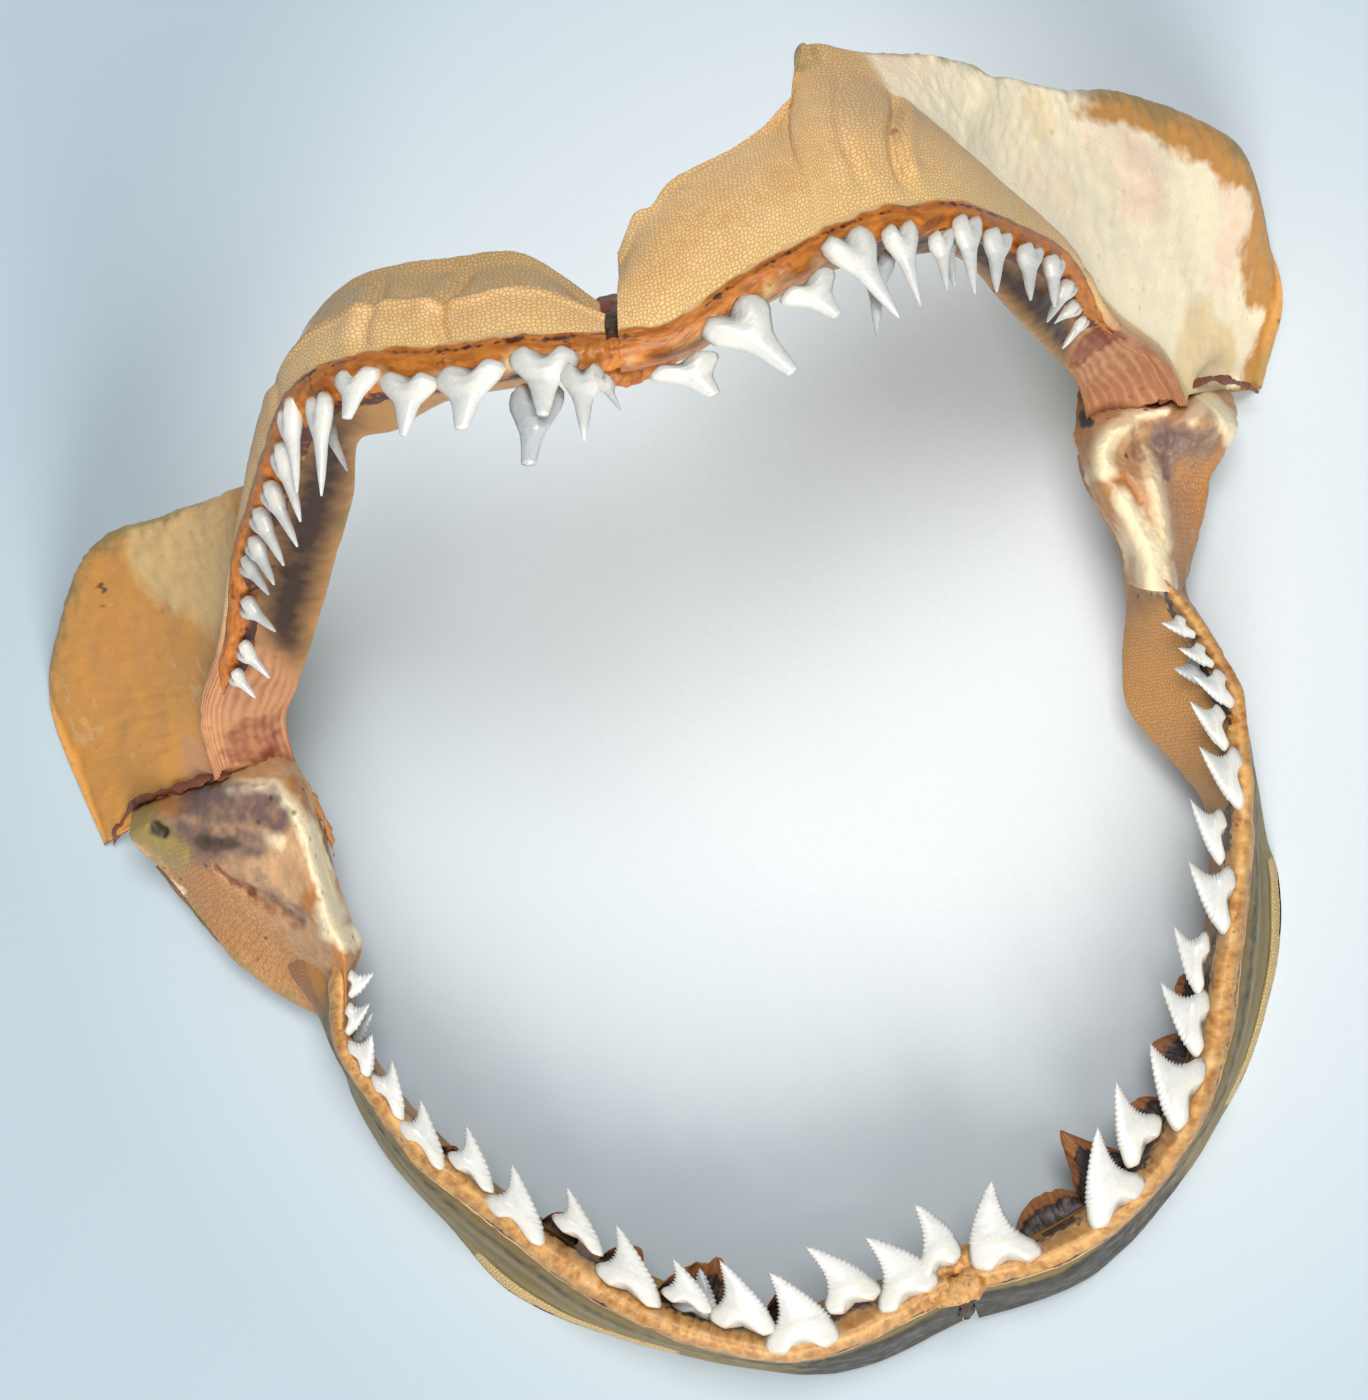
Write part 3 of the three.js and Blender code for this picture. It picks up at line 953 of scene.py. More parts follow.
@dataclass
class LowerCartilage:
    """One of Meckel's cartilages: front plate, wing and the web to the joint.

    The ochre band of the wing starts at station ochre[0] and reaches ochre[1] mm in from the margin. The front
    plate has a fold at section place fold up to station fold_stop, if fold_stop isn't 0. A dent is a station, a
    half width in stations and how many mm the margin goes in toward the rim there.
    """

    arch: Arch
    furrows: tuple[tuple[float, float], ...]
    ochre: tuple[float, float]
    dents: tuple[Triple, ...] = ()
    fold: float = 1.8
    fold_stop: float = 0.0
    rows: int = 460
    columns: int = 190

    def pleats(self, v: Array, p: Array) -> Array:
        """Waves across the web to the joint: sin(PLEATS v + 5 noise)."""
        return np.sin(v * PLEATS + 5 * fractal(p, 12, 6))

    def masks(self, s: Array, v: Array, p: Array, width: Array) -> Masks:
        """Masks from the place in the section, the station and the wing's width.

        Args:
            s: stations, shape (rows, 1).
            v: places in the section, shape (rows, columns).
            p: places in space.
            width: distance from crest to margin, shape (rows, 1).

        Returns:
            One array for each mask.
        """
        last = self.arch.last
        narrow = smooth(15, 9, width)
        wing = smooth(2.85, 3.1, v) * smooth(6.6, 6.2, v) * (1 - narrow)
        inner = np.maximum(smooth(5.7, 6.4, v) * smooth(12.1, 11.6, v), smooth(11.0, 11.5, v))
        reach = (5.0 - v) * width / 2
        start, depth = self.ochre
        border = wing * smooth(start - 0.5, start + 0.5, s + 0.25 * noise(p, 12, 4))
        border = border * smooth(depth * 1.35, depth * 0.7, reach + 6.0 * fractal(p, 13, 5))
        edge = bump(v, 5.3, 0.42)
        web = smooth(last - 2.6, last - 1.7, s) * np.maximum(smooth(9.6, 10.4, v), smooth(2.6, 1.8, v))
        face = smooth(3.15, 2.8, v) * (1 - narrow) + smooth(5.5, 5.1, v) * narrow
        face = face * smooth(0.0, 0.3, v) * (1 - web)
        dusk = smooth(1.3, 2.4, v + 0.5 * fractal(p, 16, 34)) * face
        above = smooth(self.fold - 0.08, self.fold + 0.08, v) * smooth(self.fold_stop + 0.5, self.fold_stop - 0.3, s)
        return {
            "wing": wing,
            "pink": wing * smooth(-0.15, 0.45, fractal(p, 26, 33)) * smooth(3.2, 3.9, v),
            "ochre": border,
            "inner": inner * (1 - wing),
            "keel": bump(v, 9.0, 1.0) * smooth(4.0, 5.5, s),
            # hollow: painted shade, near black, in the hollow of the inner wall under the rim
            "hollow": bump(v, 11.0, 0.62) * smooth(3.0, 4.5, s) * smooth(last - 1.8, last - 2.6, s),
            "edge": edge * (0.7 + 0.3 * narrow),
            "web": web,
            "pleats": web * (0.5 + 0.42 * self.pleats(v, p) + 0.35 * fractal(p, 5, 36)),
            "above": above * face,
            "tiles": np.clip(face + 0.22 * wing, 0, 1),
            "grubby": np.clip(0.2 + 0.8 * inner + 0.5 * edge, 0, 1),
            "lip": smooth(1.1, 0.75, v) * face,
            "shade": dusk * smooth(3.4, 4.4, s + 0.3 * noise(p, 9, 35)),
        }

    def relief(self, s: Array, v: Array, p: Array, width: Array) -> Array:
        """Height added along the normal: furrows across the plate, the fold, crinkles and ripples.

        Args:
            s: stations, shape (rows, 1).
            v: places in the section, shape (rows, columns).
            p: places in space.
            width: distance from crest to margin, shape (rows, 1).

        Returns:
            Heights in mm.
        """
        last = self.arch.last
        face = smooth(0.4, 1.0, v) * smooth(3.2, 2.6, v)
        height = 0.45 * fractal(p, 22, 1) + 0.14 * fractal(p, 5, 2)
        for station, depth in self.furrows:
            wander = s + 0.12 * np.sin(v * 2.1 + station)
            height = height - face * depth * (bump(wander, station, 0.09) - 0.5 * bump(wander, station + 0.2, 0.14))
        if self.fold_stop:
            line = self.fold + 0.12 * np.sin(s * 2.3)
            height = height + 1.1 * bump(v, line, 0.12) * smooth(self.fold_stop + 0.5, self.fold_stop - 0.5, s)
        wing = smooth(3.0, 3.6, v) * smooth(5.3, 4.9, v) * smooth(9, 20, width)
        crinkles = 0.8 * fractal(p, 11, 31) + 0.9 * np.abs(fractal(p, 3.4, 32)) + 0.3 * fractal(p, 1.5, 37)
        height = height + wing * crinkles
        web = smooth(last - 2.2, last - 1.2, s) * np.maximum(smooth(9.6, 10.4, v), smooth(2.4, 1.4, v))
        return height + (0.3 * self.pleats(v, p) + 0.6 * fractal(p, 7, 7)) * web

    def build(self, material: Material) -> Object:
        """Builds the piece: the arch's surface with a ragged margin and its relief along the normal.

        Args:
            material: its finish.

        Returns:
            The new object.
        """
        arch = self.arch
        s, v, p, inward = arch.skin(self.rows, self.columns)
        margin, crest = arch.line("margin", s), arch.line("crest", s)
        width = np.linalg.norm(margin - crest, axis=-1)[:, None]
        rag = 0.9 * np.abs(fractal(p, 6, 9)) + 0.5 * np.abs(noise(p, 2.2, 10))
        p = p + inward * (bump(v, 5.45, 0.75) * rag)[..., None]
        stations = s[:, None]
        to_rim = unit(arch.line("rim", s) - margin)[:, None, :]
        near_margin = smooth(1.8, 4.0, v) * smooth(9.5, 7.0, v)
        for station, half, depth in self.dents:
            p = p + to_rim * (depth * bump(stations, station, half) * near_margin)[..., None]
        p = p + grid_normals(p, True) * outward_sign(p) * self.relief(stations, v, p, width)[..., None]
        keep_above(p, CLEARANCE + 1.2 * smooth(5.7, 5.3, v) * smooth(2.4, 3.0, v))
        return arch.piece(p, self.masks(stations, v, p, width), material, Slot.LOWER)


@dataclass
class UpperCartilage:
    """One of the palatoquadrates: tooth-bearing bar, orbital process and the plate to the joint.

    From station sink on it lies depth mm lower, under the joint's skin.
    """

    arch: Arch
    process: tuple[float, float]
    sink: float
    depth: float = 4.5
    rows: int = 420
    columns: int = 150

    def masks(self, s: Array, v: Array, p: Array) -> Masks:
        """Masks from the place in the section and the station.

        Args:
            s: stations, shape (rows, 1).
            v: places in the section, shape (rows, columns).
            p: places in space.

        Returns:
            One array for each mask.
        """
        outer = smooth(0.6, 1.4, v) * smooth(6.3, 5.7, v)
        rear = smooth(9.3, 10.6, s)
        shown = self.strip(s) * smooth(4.2, 4.3, v) * smooth(5.9, 5.6, v)
        process = smooth(0.35, 0.6, shown + 0.18 * fractal(p, 5, 16))
        flange = smooth(6.2, 8.2, s) * smooth(12.4, 10.8, s) * smooth(7.4, 8.4, v) * smooth(11.9, 11.2, v)
        bar = smooth(10.6, 11.5, s) * np.maximum(smooth(1.1, 0.5, v), smooth(11.0, 11.6, v))
        fossa = rear * smooth(1.4, 2.2, v) * smooth(5.6, 5.0, v)
        inner = smooth(6.1, 6.9, v) * smooth(12.0, 11.3, v)
        return {
            "rear": rear * outer,
            "process": process,
            "flange": flange,
            "flange_edge": flange * smooth(8.6, 7.6, v) * smooth(10.6, 9.2, s),
            "bar": bar,
            "fossa": fossa,
            "inner": inner * (1 - flange),
            # black: a dark patch on the front of the outer band, and a painted shade line along the crease below the
            # membrane's labial edge
            "black": np.clip(smooth(3.0, 1.3, s + 0.5 * noise(p, 9, 3)) * smooth(1.2, 2.0, v) * outer
                             + 0.6 * bump(v, 1.6, 0.3) * smooth(9.8, 9.0, s), 0, 1),
            # groove: painted shade along the grooves of the relief, below the lip and beside the process
            "groove": (0.5 * bump(v, 3.25 + 0.2 * np.sin(s * 1.3), 0.3) * smooth(9.8, 9.0, s)
                       + bump(v, 4.17, 0.08) * self.strip(s)),
            "edge": bump(v, 5.5, 0.7) * (1 - process) * smooth(8.5, 10, s),
            "tiles": np.clip(process + 0.55 * fossa + 0.12 * outer + 0.6 * flange, 0, 1),
            "grubby": np.clip(0.35 + 0.5 * inner, 0, 1),
            "lip": smooth(1.5, 0.9, v) * smooth(9.8, 9.0, s),
        }

    def strip(self, s: Array) -> Array:
        """1 along the orbital process, 0 before and after it."""
        start, stop = self.process
        return smooth(start - 0.7, start + 0.7, s) * smooth(stop + 0.7, stop - 0.7, s)

    def relief(self, s: Array, v: Array, p: Array) -> Array:
        """Height along the normal: hollows, wrinkles, grooves under the lip and beside the process, the rear bar.

        Args:
            s: stations, shape (rows, 1).
            v: places in the section, shape (rows, columns).
            p: places in space.

        Returns:
            Heights in mm.
        """
        groove = -0.9 * bump(v, 3.1, 0.4) * smooth(1.0, 2.2, s) * smooth(9.5, 8.0, s)
        groove = groove - 1.0 * bump(v, 4.15, 0.12) * self.strip(s)
        bar = 1.2 * smooth(10.6, 11.8, s) * np.maximum(bump(v, 0.0, 0.5), bump(v, 12.0, 0.5))
        fossa = -2.2 * smooth(10.2, 11.4, s) * bump(v, 2.6, 1.1)
        return 0.4 * fractal(p, 18, 11) + 0.14 * fractal(p, 4, 12) + groove + bar + fossa

    def build(self, material: Material) -> Object:
        """Builds the piece: the arch's surface with a ragged margin at the rear and its relief.

        Args:
            material: its finish.

        Returns:
            The new object.
        """
        s, v, p, inward = self.arch.skin(self.rows, self.columns)
        stations = s[:, None]
        rag = (0.3 + 1.1 * smooth(8.5, 10.5, stations)) * np.abs(fractal(p, 5, 15))
        p = p + inward * (bump(v, 5.5, 0.75) * rag)[..., None]
        p = p + grid_normals(p, True) * outward_sign(p) * self.relief(stations, v, p)[..., None]
        p[..., 2] -= self.depth * smooth(self.sink, self.sink + 0.7, stations)
        keep_above(p)
        return self.arch.piece(p, self.masks(stations, v, p), material, Slot.UPPER)


# ---- Teeth and their membrane ----


SAW_PITCH = 1.1
YOUNG_SETBACK = 5.0


@dataclass(frozen=True)
class Tooth:
    """One tooth: station, root width, height, slant to the joint in degrees, inset from the rim, broken share."""

    station: float
    width: float
    height: float
    slant: float
    inset: float
    broken: float = 0.0


@dataclass(frozen=True)
class ToothForm:
    """Outline and thickness of a kind of tooth, as shares of width and height from root to tip.

    near and far are the edges toward the symphysis and the joint, measured from the straight line that runs
    from the middle of the root to the tip.
    """

    heights: tuple[float, ...]
    near: tuple[float, ...]
    far: tuple[float, ...]
    lobe: float
    notch: float
    thick: float
    lean: float
    serration: float
    root_top: float
    rows: int
    around: int = 32


LOWER_FORM = ToothForm(
    heights=(0.0, 0.06, 0.14, 0.22, 0.32, 0.42, 0.52, 0.7, 0.88, 0.96, 1.0),
    near=(-0.36, -0.48, -0.5, -0.46, -0.34, -0.235, -0.185, -0.135, -0.07, -0.035, 0.0),
    far=(0.36, 0.48, 0.5, 0.46, 0.34, 0.235, 0.185, 0.135, 0.07, 0.035, 0.0),
    lobe=0.1,
    notch=0.14,
    thick=5.0,
    lean=20.0,
    serration=0.0,
    root_top=0.36,
    rows=44,
)
UPPER_FORM = ToothForm(
    heights=(0.0, 0.05, 0.12, 0.2, 0.28, 0.36, 0.46, 0.6, 0.78, 0.92, 1.0),
    near=(-0.42, -0.51, -0.54, -0.535, -0.515, -0.485, -0.44, -0.355, -0.215, -0.095, 0.0),
    far=(0.42, 0.5, 0.49, 0.42, 0.3, 0.19, 0.11, 0.05, 0.015, 0.0, 0.0),
    lobe=0.1,
    notch=0.12,
    thick=4.0,
    lean=42.0,
    serration=0.62,
    root_top=0.3,
    rows=110,
)


@dataclass
class ToothRow:
    """A row of teeth on one arch."""

    arch: Arch
    form: ToothForm
    teeth: tuple[Tooth, ...]
    young: tuple[Tooth, ...] = ()
    lift: float = 0.3
    forward: float = 1.0

    def blade(self, tooth: Tooth, behind: float) -> tuple[Array, Masks, Array]:
        """Surface of one tooth.

        Across the blade p runs from -1 to 1 over the front and back again behind; up it q runs from 0 to 1.
        x = width * (middle(q) + half(q) * p) and y = height * (q + base(p) * root(q)). The thickness is the
        root's times the taper times (1 - |p|^2.2)^0.6. The tip curls a little out of the face.

        Args:
            tooth: its sizes.
            behind: how far inside the rim it stands, in mm.

        Returns:
            Places, masks and flow of the grid.
        """
        form = self.form
        q = np.linspace(0, 1, form.rows) ** 0.92 * (1.0 - tooth.broken)
        q = np.append(q, q[-1])[:, None]
        turn = form.around // 2
        halves = (np.linspace(-1, 1, turn, endpoint=False), np.linspace(1, -1, turn, endpoint=False))
        p = np.concatenate(halves)[None, :]
        front = np.concatenate([np.ones(turn), -np.ones(turn)])[None, :]
        near, far = (np.interp(q, form.heights, side) for side in (form.near, form.far))
        middle, half = (near + far) / 2, (far - near) / 2
        saw = np.abs(np.mod(q * tooth.height / SAW_PITCH, 1.0) - 0.5) * 2
        crown = form.serration * saw * smooth(form.root_top, form.root_top + 0.05, q) * smooth(0.99, 0.9, q)
        teeth = crown * np.abs(p) ** 4
        closing = np.ones_like(q)
        closing[-1] = 0.0
        x = tooth.width * middle + (tooth.width * half * p + np.sign(p) * teeth) * closing
        root = np.clip(1 - q / form.root_top, 0, 1) ** 1.4
        base = form.notch * (1 - np.abs(p) ** 1.4) - form.lobe * bump(np.abs(p), 0.62, 0.26)
        y = tooth.height * (q + base * root)
        taper = np.interp(q, (0, 0.03, 0.12, 0.3, 0.42, 0.8, 1), (0.2, 0.75, 1.0, 0.95, 0.72, 0.4, 0.12))
        side = np.maximum(1 - np.abs(p) ** 2.2, 0.0) ** 0.6
        lobed = 1 + 0.35 * root * (bump(np.abs(p), 0.55, 0.3) - 0.8 * bump(p, 0.0, 0.25))
        z = front * 0.5 * form.thick * (tooth.width / 15) ** 0.35 * taper * side * lobed * closing
        curl = tooth.height * 0.05 * (q - 0.3) * np.abs(q - 0.3)
        places = self._place(tooth, x, y, z + curl, behind)
        rooted = smooth(form.root_top + 0.06, form.root_top - 0.06, q)
        places = places + 0.1 * fractal(places, 2.2, 90)[..., None] * rooted[..., None]
        masks = {
            "root": smooth(form.root_top + 0.06, form.root_top - 0.06, q - 0.08 * (1 - np.abs(p))) + 0 * p,
            "gumline": smooth(0.1, -0.03, q + base * root) + 0 * p,
        }
        flow = np.stack([x + 0 * y, y + 0 * x], axis=-1) + tooth.station * 40
        return places, masks, flow

    def _place(self, tooth: Tooth, x: Array, y: Array, z: Array, behind: float) -> Array:
        """Sets a blade's grid on the rim: x along it, y up the leaning face, z out of the face.

        Args:
            tooth: its sizes.
            x: lengths along the rim in mm.
            y: lengths up the face.
            z: lengths out of the face.
            behind: how far inside the rim it stands, in mm.

        Returns:
            Places, last axis x, y, z.
        """
        rim, tangent, down, out = (a[0] for a in self.arch.frame(np.array([tooth.station])))
        lean = math.radians(self.form.lean)
        rise = -down * math.cos(lean) - out * math.sin(lean)
        face = np.cross(tangent, rise)
        face = face * np.sign(np.dot(face, out))
        tilt = math.radians(tooth.slant)
        inner = unit(self.arch.line("lingual", np.array([tooth.station]))[0] - rim)
        start = rim + rise * (tooth.inset + self.lift) + inner * behind + out * (self.forward if not behind else 0.0)
        up = (y * math.cos(tilt))[..., None] * rise + (x + y * math.sin(tilt))[..., None] * tangent
        return start + up + z[..., None] * face

    def build(self, enamel: Material, grey: Material) -> None:
        """Builds the row, and the grey young teeth behind it.

        Args:
            enamel: finish of the row.
            grey: finish of the young teeth.
        """
        name = f"{self.arch.jaw.value}_teeth_{self.arch.side.value}"
        rows = (("blades", self.teeth, 0.0, enamel, [name]), ("young", self.young, YOUNG_SETBACK, grey, []))
        for label, teeth, behind, finish, nodes in rows:
            work = Patchwork(f"{name}_{label}")
            for tooth in teeth:
                work.tube(*self.blade(tooth, behind))
            if teeth:
                work.build(finish, Slot.TEETH, nodes)


@dataclass
class MembraneStrip:
    """The dental membrane folded over the rim, swollen round each root and torn at its edges."""

    arch: Arch
    teeth: tuple[Tooth, ...]
    start: float
    stop: float
    labial: float = 6.5
    lingual: float = 10.0
    proud: float = 1.2
    swelling: float = 0.3
    lumpy: float = 0.6
    lengthwise: bool = True
    cuff: float = 0.6
    rows: int = 420
    columns: int = 52

    def build(self, material: Material) -> Object:
        """Builds the strip.

        The outer layer is the cartilage's surface from the labial edge over the rim to the lingual edge, moved
        out by proud * sin(pi w)^0.4 with swellings and holes; the inner layer lies under that surface.

        Args:
            material: its finish.

        Returns:
            The new object.
        """
        arch = self.arch
        s = np.linspace(self.start, self.stop, self.rows)
        controls = arch.controls(s)
        gone = (s - self.start) / (self.stop - self.start)
        narrow = ((1 - 0.35 * gone**2) * (0.12 + 0.88 * smooth(1.0, 0.94, gone)))[:, None]
        ticks = np.stack([s * 1.3, s * 0, s * 0 + 7], axis=-1)
        waver = (1 + 0.1 * noise(ticks, 1.0, 21) + 0.1 * fractal(ticks, 0.3, 22))[:, None]
        outer_v = self.labial * narrow * waver / np.linalg.norm(controls[:, 1] - controls[:, 0], axis=-1)[:, None]
        inner_v = self.lingual * narrow / np.linalg.norm(controls[:, 11] - controls[:, 0], axis=-1)[:, None]
        w = np.linspace(0, 1, self.columns)[None, :]
        v = outer_v * (1 - w) - inner_v * w
        skin = closed_catmull(controls, v)
        normal = grid_normals(skin, False)
        middle = controls.mean(axis=1)[:, None, :]
        normal = normal * np.sign(np.sum(normal * (skin - middle)))
        rise = unit(skin - controls[:, 9][:, None, :])
        normal = unit(normal + 0.6 * rise * bump(w, 0.42, 0.2)[..., None])
        swell, cuffs = np.zeros((self.rows, 1)), np.zeros((self.rows, 1))
        spacing = np.linalg.norm(np.gradient(arch.line("rim", s), axis=0), axis=-1) / np.gradient(s)
        for tooth in self.teeth:
            away = (s - tooth.station) * spacing / (tooth.width * 0.55)
            swell = swell + bump(away, 0.0, 1.0)[:, None] * self.swelling
            large = float(np.clip((tooth.width - 8) / 8, 0, 1))
            cuffs = cuffs + large * bump(np.abs(away), 1.05, 0.3)[:, None]
        lumps = self.lumpy * (fractal(skin, 6, 23) + 0.22 * fractal(skin, 1.9, 24))
        profile = np.sin(np.pi * w) ** 0.4
        crown = bump(w, 0.45, 0.22)
        height = profile * (self.proud + lumps + swell * crown) - 0.5
        loop = around(skin + normal * height[..., None], skin - normal * 1.1)
        flow = flow_of(loop)
        level = w + 0 * skin[..., 0]
        flat = around(level, level)
        skin_w = flat + 0.12 * fractal(loop, 3, 28)
        # seam is painted shade along the crease at the labial edge, the ramp over the lingual side is painted shade
        # behind the teeth, and the noise adds dark stains
        seam = bump(flat, 0.14 + 0.03 * noise(loop, 9, 27), 0.035)
        stain_and_shade = np.clip(0.6 * seam + smooth(0.6, 0.85, flat) * 0.8 + 0.7 * fractal(loop, 5, 25), 0, 1)
        cream = smooth(0.1, 0.02, flat + 0.05 * noise(loop, 4, 26)) + self.cuff * (cuffs * bump(skin_w, 0.5, 0.2))
        work = Patchwork(f"{arch.jaw.value}_membrane_{arch.side.value}")
        keep_above(loop)
        work.tube(loop, {"stain_and_shade": stain_and_shade, "cream": cream}, flow[..., ::-1] if self.lengthwise else flow)
        return work.build(material, Slot.TISSUE)


@dataclass(frozen=True)
class Flap:
    """A torn stretch of lining: station range, height, and how far it stands in from the rim."""

    start: float
    stop: float
    height: float
    inset: float = 3.0


@dataclass
class TornLining:
    """Dry lining of the mouth that stands up in ragged flaps behind the teeth, dark brown, with painted shade over each
    flap below its top edge.
    """

    arch: Arch
    flaps: tuple[Flap, ...]
    rows: int = 70
    columns: int = 16

    def build(self, material: Material) -> Object:
        """Builds the flaps: thin sheets whose height is height * (0.82 + noise), curled by noise.

        Args:
            material: their finish.

        Returns:
            The new object.
        """
        work = Patchwork(f"{self.arch.jaw.value}_lining_{self.arch.side.value}")
        for number, flap in enumerate(self.flaps):
            s = np.linspace(flap.start, flap.stop, self.rows)
            rim, _, down, out = self.arch.frame(s)
            wall = unit(self.arch.line("lingual", s) - rim)
            foot = rim + wall * (flap.inset + 6.0) - out * 1.0
            rag = 0.82 + 0.3 * noise(foot, 6.0, 60 + number) + 0.05 * noise(foot, 1.5, 61 + number)
            ends = np.sin(np.pi * np.linspace(0.01, 0.99, self.rows)) ** 0.55
            tall = (flap.height * np.clip(rag, 0.15, 1.1) * ends)[:, None, None]
            w = np.linspace(0, 1, self.columns)[None, :, None]
            lift = unit(-down * 0.55 - out * 0.85)[:, None, :]
            sheet = foot[:, None, :] + lift * tall * w
            curl = fractal(sheet, 6.0, 70 + number)[..., None] * 2.2 * w - 3.0 * w**2
            thick = unit(np.cross(unit(np.gradient(rim, axis=0)), lift[:, 0]))[:, None, :]
            half = 0.28 * (1.15 - w)
            loop = around(sheet + thick * (curl + half), sheet + thick * (curl - half))
            level = around(w[..., 0], w[..., 0]) + 0 * loop[..., 0]
            # darker from the foot to near the top edge: painted shade of the pocket behind the flap; the noise adds
            # dark stains
            stain_and_shade = np.clip(smooth(0.9, 0.5, level) + 0.35 * fractal(loop, 4, 80 + number), 0, 1)
            work.tube(loop, {"stain_and_shade": stain_and_shade, "cream": 0.25 * smooth(0.85, 1.0, level)}, flow_of(loop))
        return work.build(material, Slot.TISSUE)


# ---- Joints and symphyses ----


@dataclass(frozen=True)
class Cord:
    """A lump of dried tissue: a round section carried along points, with its radius at each of them."""

    points: tuple[Triple, ...]
    radii: tuple[float, ...]
    flatten: float = 1.0
    rough: float = 0.5
    tone: str = "creamy"


@dataclass
class Tissue:
    """A group of lumps that stands for one pad of the frame."""

    name: str
    node: str
    lumps: tuple[Cord, ...]
    rows: int = 90
    columns: int = 48

    def lump(self, cord: Cord, seed: int) -> tuple[Array, Masks, Array]:
        """Surface of one lump: c(t) + r(t) * (side * flatten * cos a + up * sin a), roughened by noise.

        Args:
            cord: its line, radii and tone.
            seed: picks the noise.

        Returns:
            Places, masks and flow of the grid.
        """
        t = np.linspace(0, len(cord.points) - 1.0, self.rows)
        centre = catmull(np.array(cord.points, dtype=float), t)
        radius = catmull(np.array([[r, 0, 0] for r in cord.radii], dtype=float), t)[:, 0]
        share = t / t[-1]
        radius = np.maximum(radius, 0.2) * np.clip(np.sin(np.pi * share) * 4, 0.02, 1) ** 0.5
        along = unit(np.gradient(centre, axis=0))
        side = unit(np.cross(UP, along))
        up = np.cross(along, side)
        a = np.linspace(0, 2 * np.pi, self.columns, endpoint=False)[None, :, None]
        ring = side[:, None] * cord.flatten * np.cos(a) + up[:, None] * np.sin(a)
        p = centre[:, None] + ring * radius[:, None, None]
        p = p + ring * (cord.rough * (fractal(p, 5, seed) + 0.5 * fractal(p, 1.6, seed + 3)))[..., None]
        keep_above(p)
        shape = np.ones(p.shape[:2])
        blot = fractal(p, 7, seed + 5)
        tones = {tone: shape * (1.0 if tone == cord.tone else 0.0) for tone in TONES}
        tones["purple"] = np.clip(tones["purple"] + 0.35 * smooth(0.15, 0.6, blot) * tones["creamy"], 0, 1)
        tones["tiles"] = shape * 0.15
        tones["grubby"] = shape * 0.7
        return p, tones, flow_of(p)

    def build(self, material: Material) -> Object:
        """Builds every lump in one mesh.

        Args:
            material: their finish.

        Returns:
            The new object.
        """
        work = Patchwork(self.name)
        for number, cord in enumerate(self.lumps):
            work.tube(*self.lump(cord, 100 + 11 * number))
        return work.build(material, Slot.TISSUE, [self.node] if self.node else [])


@dataclass(frozen=True)
class Stroke:
    """A band of one tone along a line in plan; its radius changes evenly and its middle rises by rise mm."""

    mask: str
    line: tuple[tuple[float, float], ...]
    radius: tuple[float, float]
    strength: float = 1.0
    rise: float = 0.0

    def nearness(self, places: Array) -> Array:
        """Distance in plan to the line over the radius there: 0 on the line, 1 at the band's border.

        Args:
            places: places in plan, last axis x, y.

        Returns:
            The least value over the legs of the line.
        """
        line = np.array(self.line, dtype=float)
        legs = len(line) - 1
        least = np.full(places.shape[:-1], np.inf)
        for number in range(legs):
            leg = line[number + 1] - line[number]
            off = places - line[number]
            share = np.clip(off @ leg / (leg @ leg), 0.0, 1.0)
            away = np.linalg.norm(off - share[..., None] * leg, axis=-1)
            radius = self.radius[0] + (self.radius[1] - self.radius[0]) * (number + share) / legs
            least = np.minimum(least, away / radius)
        return least


def wavered(p: Array) -> Array:
    """Places in plan pushed about by noise, so that bands drawn at them waver."""
    waver = np.stack([fractal(p, 7, 150, 2), fractal(p, 7, 155, 2)], axis=-1)
    return p[..., :2] + 1.1 * waver + 0.35 * noise(p, 1.6, 159)[..., None]


TONES = ("brown", "amber", "creamy", "purple", "green", "torn", "black")


